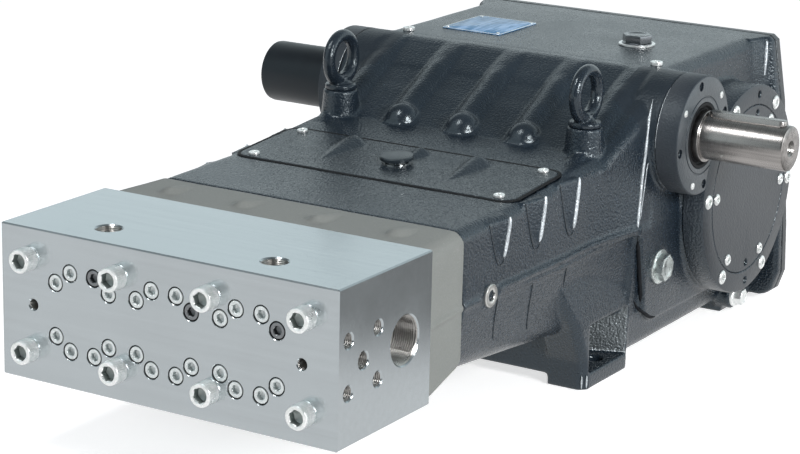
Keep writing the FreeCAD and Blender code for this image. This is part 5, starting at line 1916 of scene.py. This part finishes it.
@dataclass(frozen=True)
class Lamp:
    """A rectangular lamp that hangs at a place and is aimed at a point, in metres and watts."""

    name: str
    place: Point
    size: Pair
    power: float
    aim: Point = (0.0, -0.2, 0.2)

    def hang(self) -> None:
        """Put the lamp into the scene."""
        data = bpy.data.lights.new(self.name, "AREA")
        data.shape = "RECTANGLE"
        data.size, data.size_y = self.size
        data.energy = self.power
        back = np.asarray(self.place, float) - np.asarray(self.aim, float)
        back /= np.linalg.norm(back)
        side = np.cross(UPWARD, back)
        side = side / np.linalg.norm(side)
        aimed(linked(self.name, data), [side, np.cross(back, side), back], self.place)


@dataclass
class Studio:
    """The floor, the lights and the camera at the photograph's viewing angle, in metres."""

    focal_pixels: float = 2571.47
    frame_width: float = 800.0
    frame_height: float = 454.0
    sensor: float = 36.0
    principal: Pair = (396.06, 222.45)
    eye: Point = (1.3802, -2.5580, 0.9013)
    right: Point = (0.84900155, 0.52796699, 0.0211477)
    down: Point = (0.15727926, -0.21430031, -0.9640221)
    ahead: Point = (-0.50443989, 0.82178235, -0.26497956)

    world_colour: Colour = (0.93, 0.96, 1.0)
    world_strength: float = 0.4
    floor_half: float = 12000.0
    floor_corner: float = 4000.0
    floor_colour: Colour = (0.8, 0.8, 0.8)
    floor_glow: float = 0.66
    pool_centre: Point = (0.60, 0.10, 0.0)
    pool_reach: Point = (0.24, 0.38, 1.0)
    pool_glow: Pair = (0.27, 0.95)
    pool_edge: Pair = (0.75, 1.35)

    sky_radius: float = 7000.0
    sky_colour: Colour = (0.86, 0.97, 1.0)
    patch_toward: Point = (-0.5, -0.78, 0.42)
    patch_glow: float = 0.85
    lamps: Tuple[Lamp, ...] = (
        Lamp("overhead_softbox", (-0.32, -1.55, 2.35), (0.6, 0.55), 20.0),
        Lamp("key_softbox", (2.5, -1.15, 1.27), (0.8, 0.8), 57.0),
        Lamp("right_softbox", (2.6, 0.9, 0.6), (1.4, 0.8), 9.0))

    def camera(self) -> None:
        """Set the camera from the solved view: its rows are right, down and ahead."""
        data = bpy.data.cameras.new("photo_view")
        data.sensor_width = self.sensor
        data.lens = self.focal_pixels / self.frame_width * data.sensor_width
        data.shift_x = (self.frame_width / 2 - self.principal[0]) / self.frame_width
        data.shift_y = -(self.frame_height / 2 - self.principal[1]) / self.frame_width
        data.clip_end = 60.0
        item = linked("photo_view", data)
        aimed(item, [self.right, [-c for c in self.down], [-c for c in self.ahead]], self.eye)
        bpy.context.scene.camera = item

    def world(self) -> None:
        """Make the world plain, and white where the camera, glossy or transmission rays see it."""
        world = bpy.data.worlds.new("studio")
        bpy.context.scene.world = world
        graph = Graph.of(world)
        rays = graph.add("ShaderNodeLightPath").outputs
        mask = rays["Is Camera Ray"]
        for ray in ("Is Glossy Ray", "Is Transmission Ray"):
            mask = graph.add("ShaderNodeMath", {0: mask, 1: rays[ray]}, operation="MAXIMUM").outputs[0]
        light = graph.glow("ShaderNodeBackground", self.world_colour, self.world_strength)
        white = graph.glow("ShaderNodeBackground", WHITE, 1.0)
        graph.add("ShaderNodeOutputWorld", {"Surface": graph.shared(mask, light, white)})

    def staged(self, item: Item) -> Graph:
        """Give a stage object an empty material, whose nodes it returns."""
        material = bpy.data.materials.new(item.name)
        item.data.materials.append(material)
        return Graph.of(material)

    def floor(self) -> None:
        """Lay a pale floor that keeps the pump's shadow; mirrored, it is white with a dark pool beside it."""
        outline = plate(self.floor_half, self.floor_half, self.floor_corner, 12)
        item = as_object("studio_floor", slab(outline, [(0.0, -20.0), (0.0, -0.2)], ORIGIN, LYING))
        graph = self.staged(item)
        rays = graph.add("ShaderNodeLightPath").outputs
        diffuse = graph.add("ShaderNodeBsdfDiffuse", {"Color": (*self.floor_colour, 1.0)}).outputs[0]
        glow = graph.glow("ShaderNodeEmission", WHITE, self.floor_glow)
        lit = graph.add("ShaderNodeAddShader", {0: diffuse, 1: glow}).outputs[0]
        seen = graph.shared(rays["Is Camera Ray"], diffuse, lit)
        away = graph.distance(graph.mapped([1.0 / r for r in self.pool_reach], self.pool_centre))
        pool = graph.glow("ShaderNodeEmission", WHITE, graph.ranged(away, *self.pool_glow, *self.pool_edge))
        graph.add("ShaderNodeOutputMaterial", {"Surface": graph.shared(rays["Is Glossy Ray"], seen, pool)})

    def sky_glow(self, unit: Array) -> Array:
        """Return how bright the sky card is in each direction.

        It is dark towards the front and white at the rear horizon, and falls off to a dark grey overhead:
        glow = front + (rear - front) smooth(y), with rear = 1 - 0.65 smooth(height) and
        front = 0.12 + 0.08 height; a bright patch low at the front left is mirrored by round parts.

        Args:
            unit: the directions.

        Returns:
            The glow of each.
        """
        def smooth(value: Array, low: float, top: float) -> Array:
            """Return a value's smooth rise from 0 at low to 1 at top."""
            t = np.clip((value - low) / (top - low), 0.0, 1.0)
            return t * t * (3.0 - 2.0 * t)

        rear = 1.0 - 0.65 * smooth(unit[:, 2], 0.40, 0.8)
        front = 0.12 + 0.08 * unit[:, 2]
        glow = front + (rear - front) * smooth(unit[:, 1], -0.1, 0.5)
        toward = unit @ (np.array(self.patch_toward) / np.linalg.norm(self.patch_toward))
        return glow + (self.patch_glow - glow) * smooth(toward, 0.82, 0.93)

    def sky_card(self) -> None:
        """Hang a graded half dome around the studio, which only reflections see."""
        high = np.radians(np.linspace(0.4, 89.0, 40))[:, None]
        turn = np.radians(np.arange(96) * 3.75)[None, :]
        unit = np.stack([np.cos(high) * np.cos(turn), np.cos(high) * np.sin(turn),
                         np.sin(high) + 0.0 * turn], -1).reshape(-1, 3)
        shell = Shell(unit * self.sky_radius, ring_faces(40, 96, False), np.zeros((0, 3), int))
        item = as_object("studio_sky_card", shell)
        layer = item.data.attributes.new("glow", "FLOAT", "POINT")
        layer.data.foreach_set("value", self.sky_glow(unit).astype(np.float32))
        graph = self.staged(item)
        read = graph.add("ShaderNodeAttribute", attribute_name="glow")
        lit = graph.glow("ShaderNodeEmission", self.sky_colour, read.outputs["Fac"])
        graph.add("ShaderNodeOutputMaterial", {"Surface": lit})
        item.visible_camera = item.visible_diffuse = item.visible_shadow = False
        item.visible_transmission = item.visible_volume_scatter = False

    def build(self) -> None:
        """Set up the whole studio."""
        bpy.context.scene.view_settings.view_transform = "Standard"
        self.camera()
        self.world()
        self.floor()
        self.sky_card()
        for lamp in self.lamps:
            lamp.hang()


def main() -> None:
    """Build the pump piece by piece, then the studio."""
    logging.basicConfig(level=logging.INFO, format="%(name)s: %(message)s")
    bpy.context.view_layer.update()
    for group in (ValveHead(), Spacer(), Crankcase(), DeckFittings(), SideCovers(), ShaftLine()):
        group.build()
        group.report()
    Studio().build()


if __name__ == "__main__":
    main()
